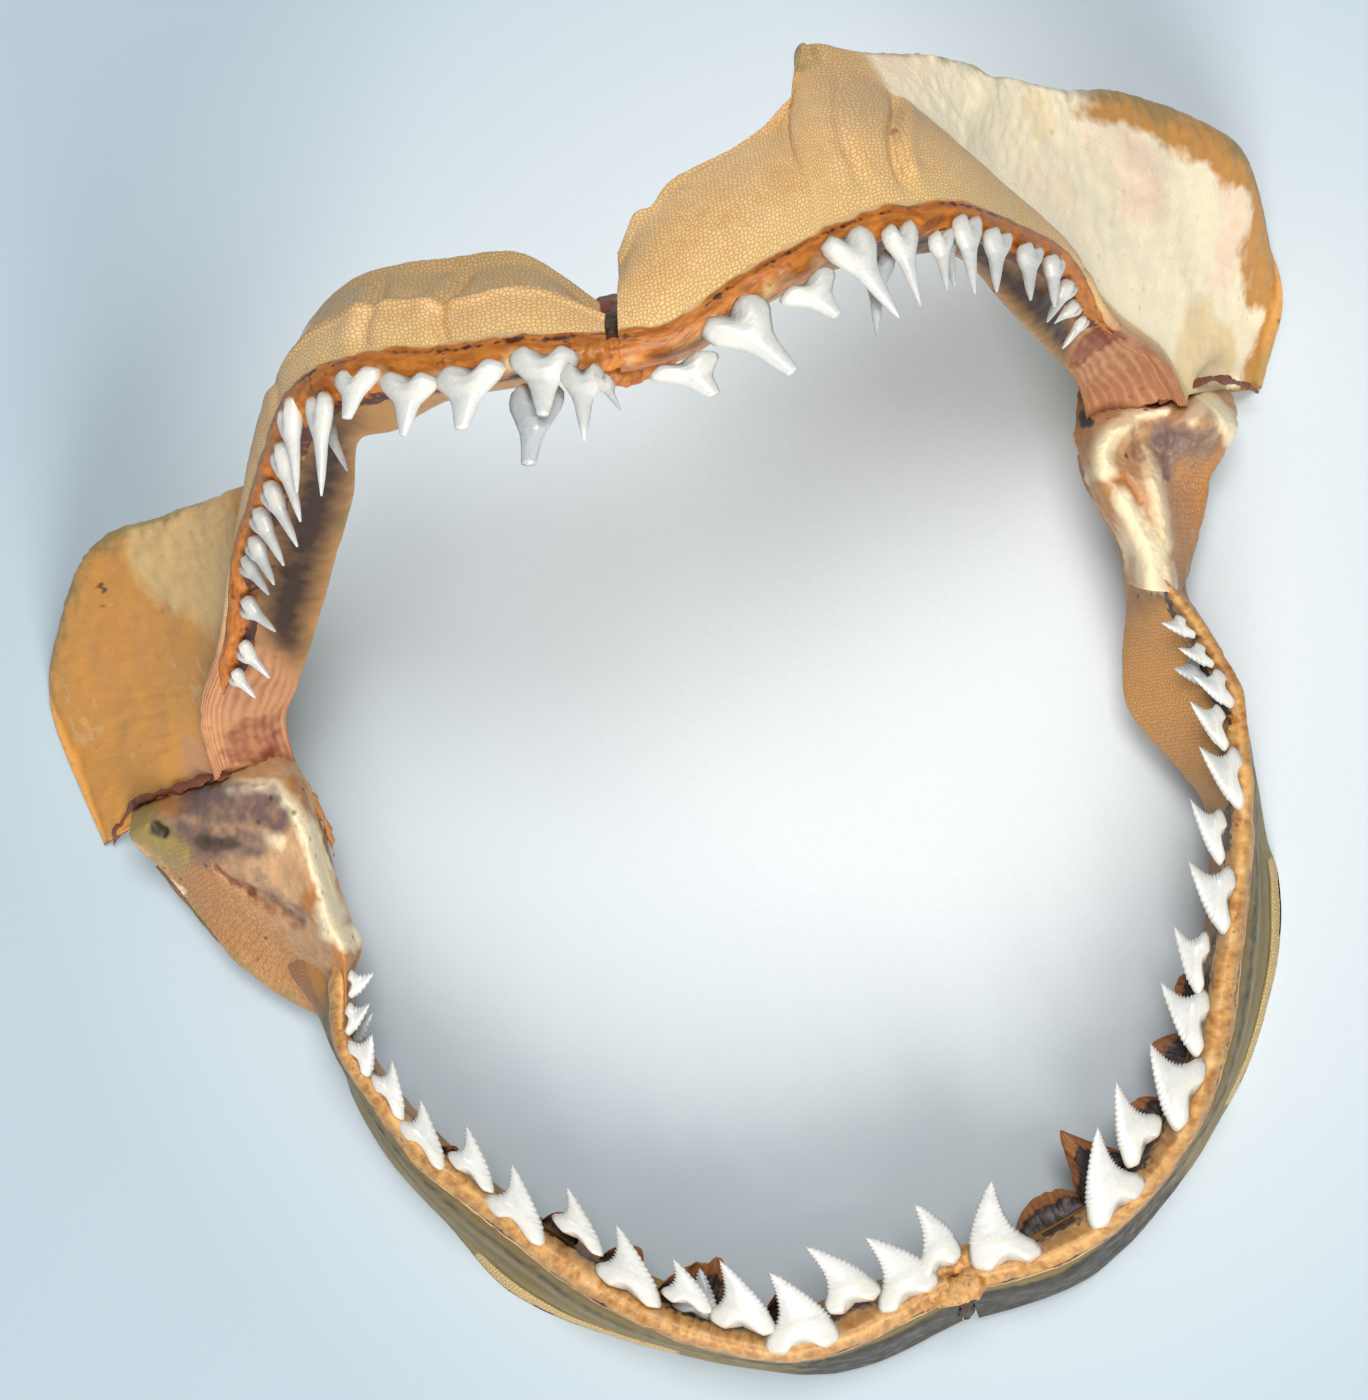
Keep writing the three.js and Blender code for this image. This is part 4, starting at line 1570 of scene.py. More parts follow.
@dataclass
class JointSkin:
    """The joint and the rear plate of the upper jaw, lofted as one skin.

    Each row runs from the inner rim over the ridge and the hollow to the outer rim; the rows run from under the
    lower jaw's wing to the back of the tooth row.
    """

    name: str
    node: str
    rows: tuple[tuple[Triple, ...], ...]
    strokes: tuple[Stroke, ...]
    along: int = 260
    across: int = 180
    thick: float = 2.6

    def skin(self) -> Array:
        """Loft: Catmull-Rom curves along each control column, then across each row.

        Returns:
            Places, shape (along, across, 3).
        """
        grid = np.array(self.rows, dtype=float)
        t = np.linspace(0, grid.shape[0] - 1, self.along)
        w = np.linspace(0, grid.shape[1] - 1, self.across)
        columns = np.stack([catmull(grid[:, k], t) for k in range(grid.shape[1])], axis=1)
        return np.stack([catmull(row, w) for row in columns])

    def build(self, material: Material) -> Object:
        """Builds the skin: the loft with knobs, folds and ragged edges on top, and the same loft lowered below.

        Args:
            material: its finish.

        Returns:
            The new object.
        """
        base = self.skin()
        t = np.linspace(0, 1, self.along)[:, None]
        w = np.linspace(0, 1, self.across)[None, :]
        middle = base.mean(axis=1, keepdims=True)
        rag = 0.9 * fractal(base, 5, 131) + 0.5 * fractal(base, 1.8, 132)
        border = np.maximum(smooth(0.08, 0.0, w), smooth(0.92, 1.0, w))
        base = base + unit(base - middle) * (rag * border)[..., None]
        inside = np.sin(np.pi * w) ** 0.35 * np.sin(np.pi * (t * 0.96 + 0.02)) ** 0.3
        height = 0.9 * fractal(base, 9, 133) + 0.5 * fractal(base, 3.2, 134) + 0.18 * fractal(base, 1.1, 135)
        plan, uneven = wavered(base), 1 + 0.3 * fractal(base, 2.0, 136)
        for stroke in self.strokes:
            if stroke.rise:
                height = height + stroke.rise * bump(stroke.nearness(plan), 0.0, 0.8) * uneven
        drop = self.thick * (0.15 + 0.85 * inside)
        loop = around(base + inside[..., None] * height[..., None] * UP, base - drop[..., None] * UP)
        keep_above(loop)
        masks = {tone: 0 * loop[..., 0] for tone in TONES}
        plan, broken = wavered(loop), 0.25 * fractal(loop, 4.0, 140)
        for stroke in self.strokes:
            near = stroke.nearness(plan) + broken
            masks[stroke.mask] = np.maximum(masks[stroke.mask], stroke.strength * smooth(1.6, 0.35, near))
        masks["tiles"] = np.clip(0.1 + 0.8 * masks["brown"], 0, 1)
        masks["grubby"] = 0 * loop[..., 0] + 0.8
        work = Patchwork(self.name)
        work.tube(loop, masks, flow_of(loop))
        return work.build(material, Slot.TISSUE, [self.node])


# ---- Studio ----


FLOOR_DROP = 0.0002
# middle of the painted pool of light on the floor
PAINTED_POOL_MIDDLE = (0.045, 0.02, 0.0)
SENSOR = 36.0
CLIP = (0.05, 20.0)
LAMP_AIM = 0.05


@dataclass(frozen=True)
class Lamp:
    """A square area light: place and size in metres, power in watts."""

    name: str
    place: Triple
    size: float
    power: float
    tint: str

    def hang(self) -> None:
        """Hangs it so that it faces the specimen's middle."""
        data = bpy.data.lights.new(self.name, "AREA")
        data.shape, data.size, data.energy = "SQUARE", self.size, self.power
        data.color = paint(self.tint)[:3]
        lamp = bpy.data.objects.new(self.name, data)
        lamp.location = self.place
        away = np.array(self.place) - UP * LAMP_AIM
        lamp.rotation_euler = (math.atan2(math.hypot(away[0], away[1]), away[2]), 0.0, math.atan2(away[0], -away[1]))
        bpy.context.collection.objects.link(lamp)


@dataclass(frozen=True)
class Studio:
    """Pale floor with a painted pool of light and painted falloff, soft light and the camera that looks straight down;
    turn in degrees, camera lengths in mm.
    """

    turn: float = 22.13
    height: float = 800.0
    view_width: float = 350.0
    aim: tuple[float, float] = (-15.13, 27.99)
    floor_size: float = 16.0
    # painted pool of light in the middle of the floor, and painted falloff towards its edges
    painted_pool_colour: str = "d8dde0"
    painted_falloff_colour: str = "acbcc7"
    grain_colour: str = "b8c4cc"
    sky_colour: str = "d8e4ef"
    sky: float = 0.30
    lamps: tuple[Lamp, ...] = (
        Lamp("top", (0.14, 0.36, 1.25), 0.46, 11.8, "fffefc"),
        Lamp("front", (-0.22, -1.08, 0.84), 0.85, 19.5, "fffaf2"),
    )

    def floor(self) -> None:
        """Lays the floor just under the specimen: a painted pool of light in the middle, and painted falloff, darker
        and bluer with the distance from it.
        """
        half = self.floor_size / 2
        mesh = bpy.data.meshes.new("floor")
        corners = [(x * half, y * half, -FLOOR_DROP) for x, y in ((-1, -1), (1, -1), (1, 1), (-1, 1))]
        mesh.from_pydata(corners, [], [(0, 1, 2, 3)])
        material, s, shader, place = start_material("pale_floor")
        # painted light: the floor's colour goes from the painted pool to the painted falloff with the distance from the
        # middle
        away = s.add("ShaderNodeVectorMath", {0: place, 1: PAINTED_POOL_MIDDLE}, operation="DISTANCE").outputs["Value"]
        far = s.ramp(away, 0.06, 0.235)
        colour = s.mix(far, paint(self.painted_pool_colour), paint(self.painted_falloff_colour))
        grain = s.noise(place, 700.0, 2.0, 0.55)
        colour = s.mix(s.ramp(grain, 0.3, 0.7, 0.0, 0.12), colour, paint(self.grain_colour))
        s.fill(shader, {"Base Color": colour, "Roughness": 0.8, "Specular IOR Level": 0.2})
        mesh.materials.append(material)
        plane = bpy.data.objects.new("floor", mesh)
        bpy.context.collection.objects.link(plane)

    def camera(self) -> None:
        """Sets the camera over the specimen, its up direction turned about the vertical."""
        data = bpy.data.cameras.new("camera")
        data.sensor_width = SENSOR
        data.lens = data.sensor_width * self.height / self.view_width
        data.clip_start, data.clip_end = CLIP
        seat = bpy.data.objects.new("camera", data)
        seat.location = (self.aim[0] * MM, self.aim[1] * MM, self.height * MM)
        seat.rotation_euler = (0.0, 0.0, -math.radians(self.turn))
        bpy.context.collection.objects.link(seat)
        bpy.context.scene.camera = seat

    def build(self) -> None:
        """Builds floor, camera, lights and the pale surroundings."""
        self.floor()
        self.camera()
        for lamp in self.lamps:
            lamp.hang()
        world = bpy.data.worlds.new("surroundings")
        world.use_nodes = True
        background = world.node_tree.nodes["Background"]
        background.inputs[0].default_value = paint(self.sky_colour)
        background.inputs[1].default_value = self.sky
        bpy.context.scene.world = world
        bpy.context.scene.view_settings.view_transform = "Standard"


# ---- The specimen ----

LOWER_THICK = dict(crest_thick=(9, 6), plate_thick=(6, 4), edge_thick=(3, 2.6), labial_bulge=3.0, lingual_bulge=2.0)
UPPER_THICK = dict(crest_thick=(8, 6), plate_thick=(6, 5), edge_thick=(4, 3.5), labial_bulge=1.6, lingual_bulge=1.2)

LOWER_RIGHT = Arch(
    Jaw.LOWER,
    Side.RIGHT,
    rim=[(3, 47, 188), (16, 46, 187), (34, 50, 184), (43, 52, 181), (52, 54, 177), (66, 53, 169), (78, 51, 158),
         (88, 45, 143), (98, 38, 122), (106, 27, 88), (118, 16, 58), (123, 5, 40)],
    crest=[(10, 65, 172), (23, 75, 167), (42, 79, 161), (51, 82, 155), (62, 92, 147), (76, 83, 140), (85, 73, 130),
           (93, 60, 116), (102, 42, 108), (112, 27, 84), (124, 16, 55), (129, 4, 38)],
    margin=[(11, 69, 168), (22, 78, 164), (41, 81, 158), (53, 86, 152), (63, 97, 144), (75, 93, 134), (93, 88, 116),
            (117, 77, 86), (137, 71, 62), (163, 52, 30), (169, 26, 0), (152, 0, -1)],
    lingual=[(3, 47, 165), (17, 46, 163), (35, 50, 160), (44, 51, 157), (53, 52, 152), (67, 50, 143), (78, 46, 132),
             (85, 34, 118), (92, 25, 98), (100, 17, 70), (103, 12, 50), (104, 7, 36)],
    **LOWER_THICK,
    spots=(
        Spot("burgundy", (72, 71, 152), 2.6, 0.7),
        Spot("keel", (60, 98, 145), 8.0, 0.75),
        Spot("burgundy", (106, 21, 76), 8.0, 0.85),
        Spot("ochre", (162, 32, 8), 16, 0.8),
        Spot("yellow", (129, 14, 30), 18, 1.0),
        Spot("yellow", (140, 7, 22), 14, 1.0),
        Spot("yellow", (112, 72, 92), 7, 0.6),
    ),
)
LOWER_LEFT = Arch(
    Jaw.LOWER,
    Side.LEFT,
    rim=[(1, 48, 188), (-13, 54, 186), (-28, 58, 180), (-42, 64, 172), (-56, 67, 158), (-66, 63, 142),
         (-77, 55, 118), (-87, 47, 98), (-98, 32, 78), (-111, 20, 58), (-116, 8, 42)],
    crest=[(3, 57, 173), (-6, 72, 168), (-20, 78, 161), (-37, 84, 153), (-54, 81, 141), (-68, 73, 122),
           (-79, 62, 102), (-89, 48, 88), (-102, 34, 70), (-114, 22, 52), (-120, 8, 38)],
    margin=[(4, 61, 168), (-6, 76, 164), (-19, 82, 157), (-38, 87, 148), (-53, 85, 130), (-66, 75, 106),
            (-79, 64, 88), (-104, 66, 62), (-130, 66, 34), (-159, 36, -1), (-159, 3, 0)],
    lingual=[(-1, 48, 165), (-15, 52, 163), (-31, 56, 158), (-43, 55, 150), (-52, 57, 138), (-59, 49, 118),
             (-70, 39, 96), (-81, 29, 74), (-92, 19, 56), (-99, 13, 44), (-102, 2, 34)],
    **LOWER_THICK,
    spots=(
        Spot("cream", (-104, 61, 66), 25, 0.9),
        Spot("web", (-125, 10, 38), 10, 0.6),
        Spot("stain", (-128, 59, 34), 2.2, 1.0),
        Spot("stain", (-129, 55, 32), 1.8, 1.0),
        Spot("burgundy", (-108, 12, 46), 9.0, 0.8),
    ),
)
UPPER_RIGHT = Arch(
    Jaw.UPPER,
    Side.RIGHT,
    rim=[(0, -171, 31), (19, -174, 31), (41, -171, 31), (62, -159, 31), (75, -145, 31), (84, -130, 31),
         (94, -113, 32), (102, -97, 33), (107, -83, 34), (111, -67, 36), (110, -53, 38), (106, -36, 41),
         (106, -23, 43), (104, -9, 44), (105, 0, 42)],
    crest=[(0, -182, 16), (25, -185, 16), (51, -175, 16), (73, -161, 14), (85, -149, 14), (95, -134, 14),
           (103, -116, 15), (107, -102, 17), (112, -85, 19), (114, -70, 21), (114, -55, 24), (112, -38, 27),
           (115, -27, 28), (119, -12, 28), (120, -2, 27)],
    margin=[(0, -188, 4), (27, -190, 3), (55, -179, 0), (79, -162, -1), (91, -150, -1), (104, -132, -1),
            (111, -115, -1), (111, -104, 5), (114, -87, 8), (116, -72, 10), (117, -57, 12), (115, -41, 12),
            (122, -29, 11), (132, -14, 12), (140, -6, 14)],
    lingual=[(-1, -170, 16), (17, -170, 16), (38, -165, 16), (58, -154, 16), (72, -141, 16), (81, -127, 16),
             (90, -112, 16), (98, -92, 16), (96, -80, 15), (90, -62, 15), (93, -49, 17), (100, -34, 20),
             (102, -22, 24), (100, -6, 26), (101, 1, 26)],
    **UPPER_THICK,
    spots=(Spot("purple", (118, -10, 30), 9, 0.9),),
)
UPPER_LEFT = Arch(
    Jaw.UPPER,
    Side.LEFT,
    rim=[(-4, -171, 31), (-22, -173, 31), (-44, -172, 31), (-63, -161, 31), (-78, -146, 31), (-90, -128, 31),
         (-100, -111, 31), (-109, -94, 31), (-114, -77, 32), (-116, -63, 34), (-111, -50, 37), (-107, -37, 40),
         (-106, -25, 42), (-105, -12, 43), (-107, -4, 42)],
    crest=[(-4, -182, 16), (-26, -184, 16), (-45, -180, 16), (-67, -168, 15), (-87, -152, 14), (-100, -134, 14),
           (-111, -114, 16), (-117, -98, 17), (-120, -80, 18), (-121, -64, 21), (-122, -51, 24), (-125, -36, 26),
           (-128, -23, 28), (-130, -12, 30), (-131, -4, 30)],
    margin=[(-4, -187, 4), (-27, -189, 3), (-46, -185, 2), (-70, -171, 0), (-92, -154, -1), (-107, -137, -1),
            (-115, -115, 0), (-121, -96, 5), (-123, -80, 8), (-122, -63, 10), (-125, -53, 10), (-134, -40, 10),
            (-140, -30, 10), (-144, -17, 11), (-147, -7, 12)],
    lingual=[(-3, -170, 16), (-24, -167, 16), (-42, -166, 16), (-58, -157, 16), (-73, -143, 16), (-87.5, -126.5, 16),
             (-98, -110, 16), (-106, -93, 16), (-112, -76, 16), (-113.5, -62, 17), (-110, -49, 20), (-107, -38, 24),
             (-106, -29, 26), (-104, -19, 28), (-103, -10, 28)],
    **UPPER_THICK,
    spots=(Spot("purple", (-120, -8, 34), 9, 0.9),),
)

LOWER_LEFT_TEETH = (
    Tooth(0.05, 4.5, 10, -30, 6), Tooth(0.3, 9, 18, -7, 3), Tooth(0.8, 14, 17, -4, -1, 0.16),
    Tooth(1.7, 15.5, 16, 7, 0, 0.18), Tooth(2.5, 13.5, 14, -8, 1, 0.08), Tooth(3.2, 12.5, 12, 12, -1, 0.18),
    Tooth(3.8, 8, 21, -3, 2), Tooth(4.5, 9.5, 18, 25, -2), Tooth(5.1, 8.5, 16, 14, 1), Tooth(5.7, 8, 16, -6, 1),
    Tooth(6.2, 8, 16, -15, 0), Tooth(6.6, 7.5, 15, -20, 2), Tooth(7.0, 7, 15, -22, 1), Tooth(7.5, 6.5, 12, -8, 1.5),
    Tooth(8.0, 6, 10, 8, 1.5), Tooth(8.35, 5, 8, 0, 1.5),
)
LOWER_RIGHT_TEETH = (
    Tooth(0.8, 14, 12, 22, 4, 0.2), Tooth(1.5, 14.5, 22, 8, 0, 0.17), Tooth(2.6, 13.5, 11.5, 5, 4, 0.16),
    Tooth(4.0, 12.5, 20, 4, 0), Tooth(4.8, 9, 18, -11, 1), Tooth(5.4, 7, 14, -25, 4), Tooth(6.0, 9, 19, -21, 1),
    Tooth(6.6, 9.5, 18, -28, 2), Tooth(7.25, 9.5, 18, -35, 2), Tooth(7.8, 8, 15, -30, 1), Tooth(8.3, 7, 13, -30, 1),
    Tooth(8.65, 6, 11, -20, 1), Tooth(8.95, 5, 9, -10, 1),
)
UPPER_RIGHT_TEETH = (
    Tooth(0.6, 17, 22, 0, 1), Tooth(2.0, 17, 24, 22, 1), Tooth(2.65, 14, 20, 26, 7), Tooth(3.4, 18, 19, 28, 2),
    Tooth(4.4, 16, 16, 35, 4), Tooth(5.2, 15, 13, 42, 6), Tooth(6.0, 16, 16, 36, 2), Tooth(6.85, 13, 14, 44, 6),
    Tooth(7.8, 15, 15, 39, 1), Tooth(8.6, 11, 13, 42, 5), Tooth(9.2, 10, 12, 37, 1.5), Tooth(9.9, 7, 9, 42, 2.5),
    Tooth(10.4, 7, 8, 42, 2.5),
)
UPPER_LEFT_TEETH = (
    Tooth(-0.02, 12, 18, -7, 4), Tooth(0.55, 16, 20, 7, 1), Tooth(1.2, 14, 20, 16, 6), Tooth(1.9, 18, 23, 13, 0),
    Tooth(2.6, 16, 20, 27, 5), Tooth(3.3, 13, 13, 35, 7), Tooth(4.0, 18, 18, 37, 3), Tooth(4.8, 15, 14, 46, 7),
    Tooth(5.5, 18, 16, 38, 0), Tooth(6.3, 14, 13, 41, 3), Tooth(7.0, 16, 13, 43, 0), Tooth(7.8, 13, 11, 43, 1.5),
    Tooth(8.6, 10, 9, 30, 1.5), Tooth(9.4, 8, 8, 38, 2), Tooth(10.0, 7, 7, 27, 2),
)

RIGHT_DENTS = ((0.95, 0.2, 3.0), (0.45, 0.2, -1.0), (3.45, 0.24, 4.2), (3.95, 0.08, -4.0), (6.45, 0.1, 3.0))
RIGHT_FLAPS = (
    Flap(0.85, 1.8, 9), Flap(1.75, 2.45, 17), Flap(2.55, 3.2, 12), Flap(3.4, 4.15, 10), Flap(4.4, 5.1, 8),
    Flap(9.2, 9.8, 4, -3.5),
)
LEFT_FLAPS = (
    Flap(1.8, 2.4, 12), Flap(2.7, 3.7, 15), Flap(3.95, 4.45, 11), Flap(4.75, 5.25, 8), Flap(6.45, 6.85, 5, -2.5),
    Flap(6.9, 7.25, 4, -2.5),
)

LOWER_FINISH = Cartilage(
    "tan_cartilage",
    base="e6b572",
    second="f4cc92",
    coats=(
        Coat("lip", "f0c983", 0.7, 0.5, 0.3),
        Coat("shade", "bd9b70", 0.5, 0.5, 0.45),
        Coat("above", "ab8f60", 0.75, 0.7, 0.4),
        Coat("inner", "a3733f", 0.9, 0.3),
        Coat("keel", "84804a", 0.85, 0.8, 0.35),
        # painted shade in the hollow under the rim
        Coat("hollow", "2a1409", 0.97, 0.3, 0.45),
        Coat("wing", "ffefcc", 1.0, 0.2),
        Coat("pink", "fbd9bc", 0.8, 0.8, 0.4),
        Coat("yellow", "f0cd8c", 0.7, 0.4, 0.48),
        Coat("ochre", "c88629", 0.95, 0.55, 0.28),
        Coat("cream", "d9bb84", 0.75, 0.7, 0.4),
        Coat("web", "c28c66", 0.9, 0.5, 0.3),
        Coat("pleats", "8c4f33", 0.6, 0.7, 0.4),
        Coat("edge", "7f7a48", 0.6, 1.2, 0.3),
        Coat("burgundy", "6e2a12", 0.85, 0.9, 0.42),
        Coat("stain", "3a2214", 0.9, 0.6, 0.3),
    ),
)
UPPER_FINISH = Cartilage(
    "grey_cartilage",
    base="6a5c30",
    second="877546",
    coats=(
        Coat("lip", "6e5628", 0.7, 0.6, 0.3),
        Coat("inner", "96682f", 0.85),
        Coat("rear", "ad7636", 0.95, 0.7),
        Coat("process", "d2b478", 0.95, 0.2),
        # painted shade in the grooves
        Coat("groove", "473b20", 0.5, 0.4, 0.45),
        Coat("flange", "b9834a", 1.0, 0.3),
        Coat("flange_edge", "c9b88a", 0.7, 0.9, 0.4),
        Coat("fossa", "9a5e2e", 0.9, 0.6),
        Coat("bar", "e8d3a6", 0.9, 0.8),
        Coat("purple", "75605c", 0.6, 0.9),
        # dark patch, and painted shade along the crease
        Coat("black", "1f1912", 0.95, 0.7, 0.38),
        Coat("edge", "5f4222", 0.7, 1.0),
    ),
    tile_size=0.9,
    seam="5a4420",
    seams=0.6,
)
TISSUE_FINISH = Cartilage(
    "joint_tissue",
    base="c9a077",
    second="b08660",
    coats=(
        Coat("brown", "aa6e36", 0.92, 0.4, 0.4),
        Coat("amber", "ac6c2c", 0.8, 0.6, 0.42),
        Coat("creamy", "eedcb6", 0.97, 0.25, 0.38),
        Coat("purple", "625052", 0.92, 0.8, 0.5),
        Coat("green", "8f7f45", 0.9, 1.1, 0.45),
        Coat("torn", "662612", 0.92, 0.5, 0.4),
        Coat("black", "1e1813", 0.95, 0.4, 0.35),
    ),
    tile_size=1.3,
)
LOWER_MEMBRANE = Membrane("amber_membrane", pale="cf7f26", deep="944a0c", dark="4a2009", draw=0.3, scale=620.0)
UPPER_MEMBRANE = Membrane("tan_membrane", pale="d6a560", deep="976026", dark="3a200d", draw=0.5, scale=420.0)
LINING = Membrane("dark_lining", pale="a0662f", deep="6e3a1a", dark="24100a", roughness=0.5)
ENAMEL = Enamel("white_enamel", crown="d4d6d4", root="d0cdc4", shade="b3b2ac")
GREY_ENAMEL = Enamel("grey_enamel", crown="b9c0c4", root="a9adac", shade="8f989f", gloss=0.15)

JOINT_RIGHT = JointSkin(
    "jaw_joint_right_tissue",
    "jaw_joint_right",
    rows=(
        ((108, 20, 33), (113, 17, 34), (121, 13, 31), (131, 9, 19), (142, 6, 7)),
        ((105, 14, 34), (110, 10, 38), (119, 7, 36), (130, 4, 31), (142, 0, 18)),
        ((101, 7, 34), (106, 4, 45), (117, 0, 40), (129, -2, 41), (139, -7, 26)),
        ((100, 2, 33), (102, -1, 46), (113, -4, 37), (124, -7, 40), (134, -12, 23)),
        ((99, -6, 32), (101, -8, 45), (112, -11, 42), (120, -13, 32), (129, -17, 20)),
        ((99, -14, 31), (102, -17, 44), (111, -19, 41), (117, -23, 30), (124, -25, 18)),
        ((101, -23, 31), (103, -27, 43), (109, -28, 40), (114, -31, 30), (118, -33, 18)),
        ((99, -32, 31), (101, -35, 43), (107, -38, 40), (110, -39, 30), (113, -38, 22)),
    ),
    strokes=(
        Stroke("brown", ((125, -13), (120, -20), (115, -28), (112, -35)), (7.0, 3.0), 1.0, -1.6),
        Stroke("amber", ((135, -8), (129, -16), (124, -24), (117, -32), (113, -38)), (1.6, 1.2), 1.0, 1.6),
        Stroke("amber", ((107, 14), (101, 6), (99, -5), (100, -16), (101, -28), (101, -38)), (2.0, 2.4), 0.9),
        Stroke("amber", ((102, -6), (106, -9), (107, -15)), (1.6, 1.4), 0.9, -1.0),
        Stroke("purple", ((119, -4), (125, -8), (130, -8)), (4.0, 3.0), 0.85, -1.4),
        Stroke("purple", ((121, -6), (117, -12)), (3.6, 1.6), 0.95, -1.6),
        Stroke("purple", ((113, 1), (112, -5)), (1.2, 1.6), 0.6, -1.0),
        Stroke("creamy", ((122, 3), (118, 4), (113, 4), (107, 2), (104, -1), (102, -5)), (1.6, 2.8), 1.0, 2.2),
        Stroke("creamy", ((103, -12), (104, -18), (105, -25), (105, -32), (104, -39)), (2.0, 5.0), 1.0, 1.6),
        Stroke("creamy", ((114, -5), (113, -11), (112, -18), (110, -26)), (2.0, 3.0), 0.7, 2.0),
        Stroke("creamy", ((134, 4), (135, -2), (137, -10)), (3.4, 2.8), 1.0, 2.4),
        Stroke("creamy", ((134, 2), (130, 0), (126, -2)), (2.4, 1.6), 0.6, 1.0),
        Stroke("torn", ((118, 7), (121, 5), (125, 5), (130, 5), (136, 7), (145, 4)), (1.3, 1.3), 1.0, -1.5),
        Stroke("torn", ((104, 13), (110, 9)), (1.2, 1.2), 0.6),
        Stroke("black", ((145, 0), (145, -3)), (1.4, 1.0), 0.9),
        Stroke("black", ((103.5, 8), (103.5, 6.5)), (1.3, 1.3), 1.0),
    ),
)
JOINT_LEFT = JointSkin(
    "jaw_joint_left_tissue",
    "jaw_joint_left",
    rows=(
        ((-104, 15, 27), (-107, 16, 31), (-116, 16, 28), (-131, 15, 14), (-144, 12, 4)),
        ((-103, 8, 30), (-106, 9, 36), (-116, 9, 34), (-131, 10, 21), (-146, 9, 9)),
        ((-101, 2, 36), (-105, 1, 45), (-115, 3, 41), (-130, 4, 31), (-146, 5, 22)),
        ((-101, -7, 36), (-104, -9, 47), (-115, -6, 43), (-130, -2, 33), (-147, 0, 22)),
        ((-103, -18, 34), (-106, -20, 46), (-114, -14, 43), (-131, -10, 32), (-144, -10, 14)),
        ((-104, -27, 30), (-107, -30, 45), (-115, -24, 40), (-130, -19, 28), (-141, -21, 12)),
        ((-104, -37, 30), (-107, -37, 44), (-114, -34, 38), (-125, -30, 26), (-137, -36, 11)),
        ((-105, -44, 30), (-107, -44, 43), (-113, -43, 37), (-121, -42, 24), (-129, -49, 10)),
        ((-108, -49, 31), (-109, -48, 40), (-112, -49, 35), (-117, -51, 25), (-122, -58, 12)),
        ((-112, -57, 31), (-113, -57, 37), (-115, -58, 33), (-118, -61, 25), (-123, -68, 11)),
    ),
    strokes=(
        Stroke("brown", ((-138, -15), (-132, -27), (-128, -38), (-122, -48), (-119, -62)), (10.0, 6.0), 1.0, -0.8),
        Stroke("amber", ((-109, -30), (-106, -36), (-105, -42), (-110, -50), (-114, -58)), (3.6, 4.0), 1.0),
        Stroke("amber", ((-140, 8), (-132, 4), (-127, 2)), (2.6, 2.0), 0.9),
        Stroke("amber", ((-103, -1), (-103, -10), (-103, -18), (-104, -28)), (1.4, 1.4), 0.9),
        Stroke("green", ((-146, 6), (-142, 0), (-139, -7)), (5.0, 5.0), 0.95, 2.2),
        Stroke("green", ((-142, -17), (-139, -30), (-132, -43), (-125, -53), (-122, -66)), (1.1, 1.1), 0.8),
        Stroke("purple", ((-125, 2), (-118, -2), (-112, -4), (-109, -8)), (6.5, 3.6), 0.85, -0.5),
        Stroke("purple", ((-136, -4), (-129, -8), (-123, -9), (-117, -12)), (5.5, 3.6), 1.0, -0.8),
        Stroke("purple", ((-124, -14), (-119, -22), (-114, -31)), (3.4, 2.2), 0.6),
        Stroke("creamy", ((-118, 4), (-113, 2), (-108, -1), (-105, -6), (-104, -12), (-105, -20), (-106, -30)),
               (1.8, 1.8), 1.0, 1.8),
        Stroke("creamy", ((-107, -33), (-108, -36.5)), (3.4, 3.2), 0.95, 2.0),
        Stroke("creamy", ((-105.5, -39), (-105.5, -41)), (2.6, 2.6), 0.9, 1.6),
        Stroke("creamy", ((-112.5, -12), (-111.5, -13)), (2.6, 2.6), 0.75, 1.2),
        Stroke("creamy", ((-147, -10), (-143, -16)), (2.0, 1.4), 0.95),
        Stroke("torn", ((-129, -13), (-127, -18), (-124, -22)), (0.9, 1.6), 0.95, -1.6),
        Stroke("torn", ((-124, -22), (-120, -27), (-116, -32)), (1.8, 2.4), 0.5, -1.8),
        Stroke("torn", ((-147, 9), (-141, 9), (-131, 9), (-118, 7)), (1.3, 1.3), 1.0, -1.0),
        Stroke("black", ((-139.5, 1.5), (-138, 0)), (1.7, 1.5), 1.0, -2.2),
        Stroke("black", ((-130, -6), (-126, -8), (-122, -9)), (2.0, 2.0), 0.7),
    ),
)
EDGE_RIGHT = Tissue(
    "jaw_joint_right_edge",
    "",
    (
        Cord(((121, 5, 40), (125, 5, 38.5), (130, 5.5, 36), (135, 6, 32), (140, 4.5, 26), (146, 2, 16), (150, -1, 9)),
             (0.3, 0.5, 0.6, 0.5, 0.6, 0.5, 0.3), 1.2, 0.8, "torn"),
    ),
)
EDGE_LEFT = Tissue(
    "jaw_joint_left_edge",
    "",
    (
        Cord(((-156, 2, 2), (-151, 6, 7), (-145, 9, 13), (-138, 9, 20), (-130, 8, 28), (-123, 7.5, 35), (-116, 6, 41)),
             (0.4, 0.6, 0.7, 0.6, 0.7, 0.6, 0.4), 1.3, 0.9, "torn"),
        Cord(((-102, -2, 36), (-101, -9, 34), (-101, -15, 31), (-102.5, -21, 28)),
             (0.5, 1.1, 1.3, 0.5), 0.8, 1.2, "brown"),
    ),
)
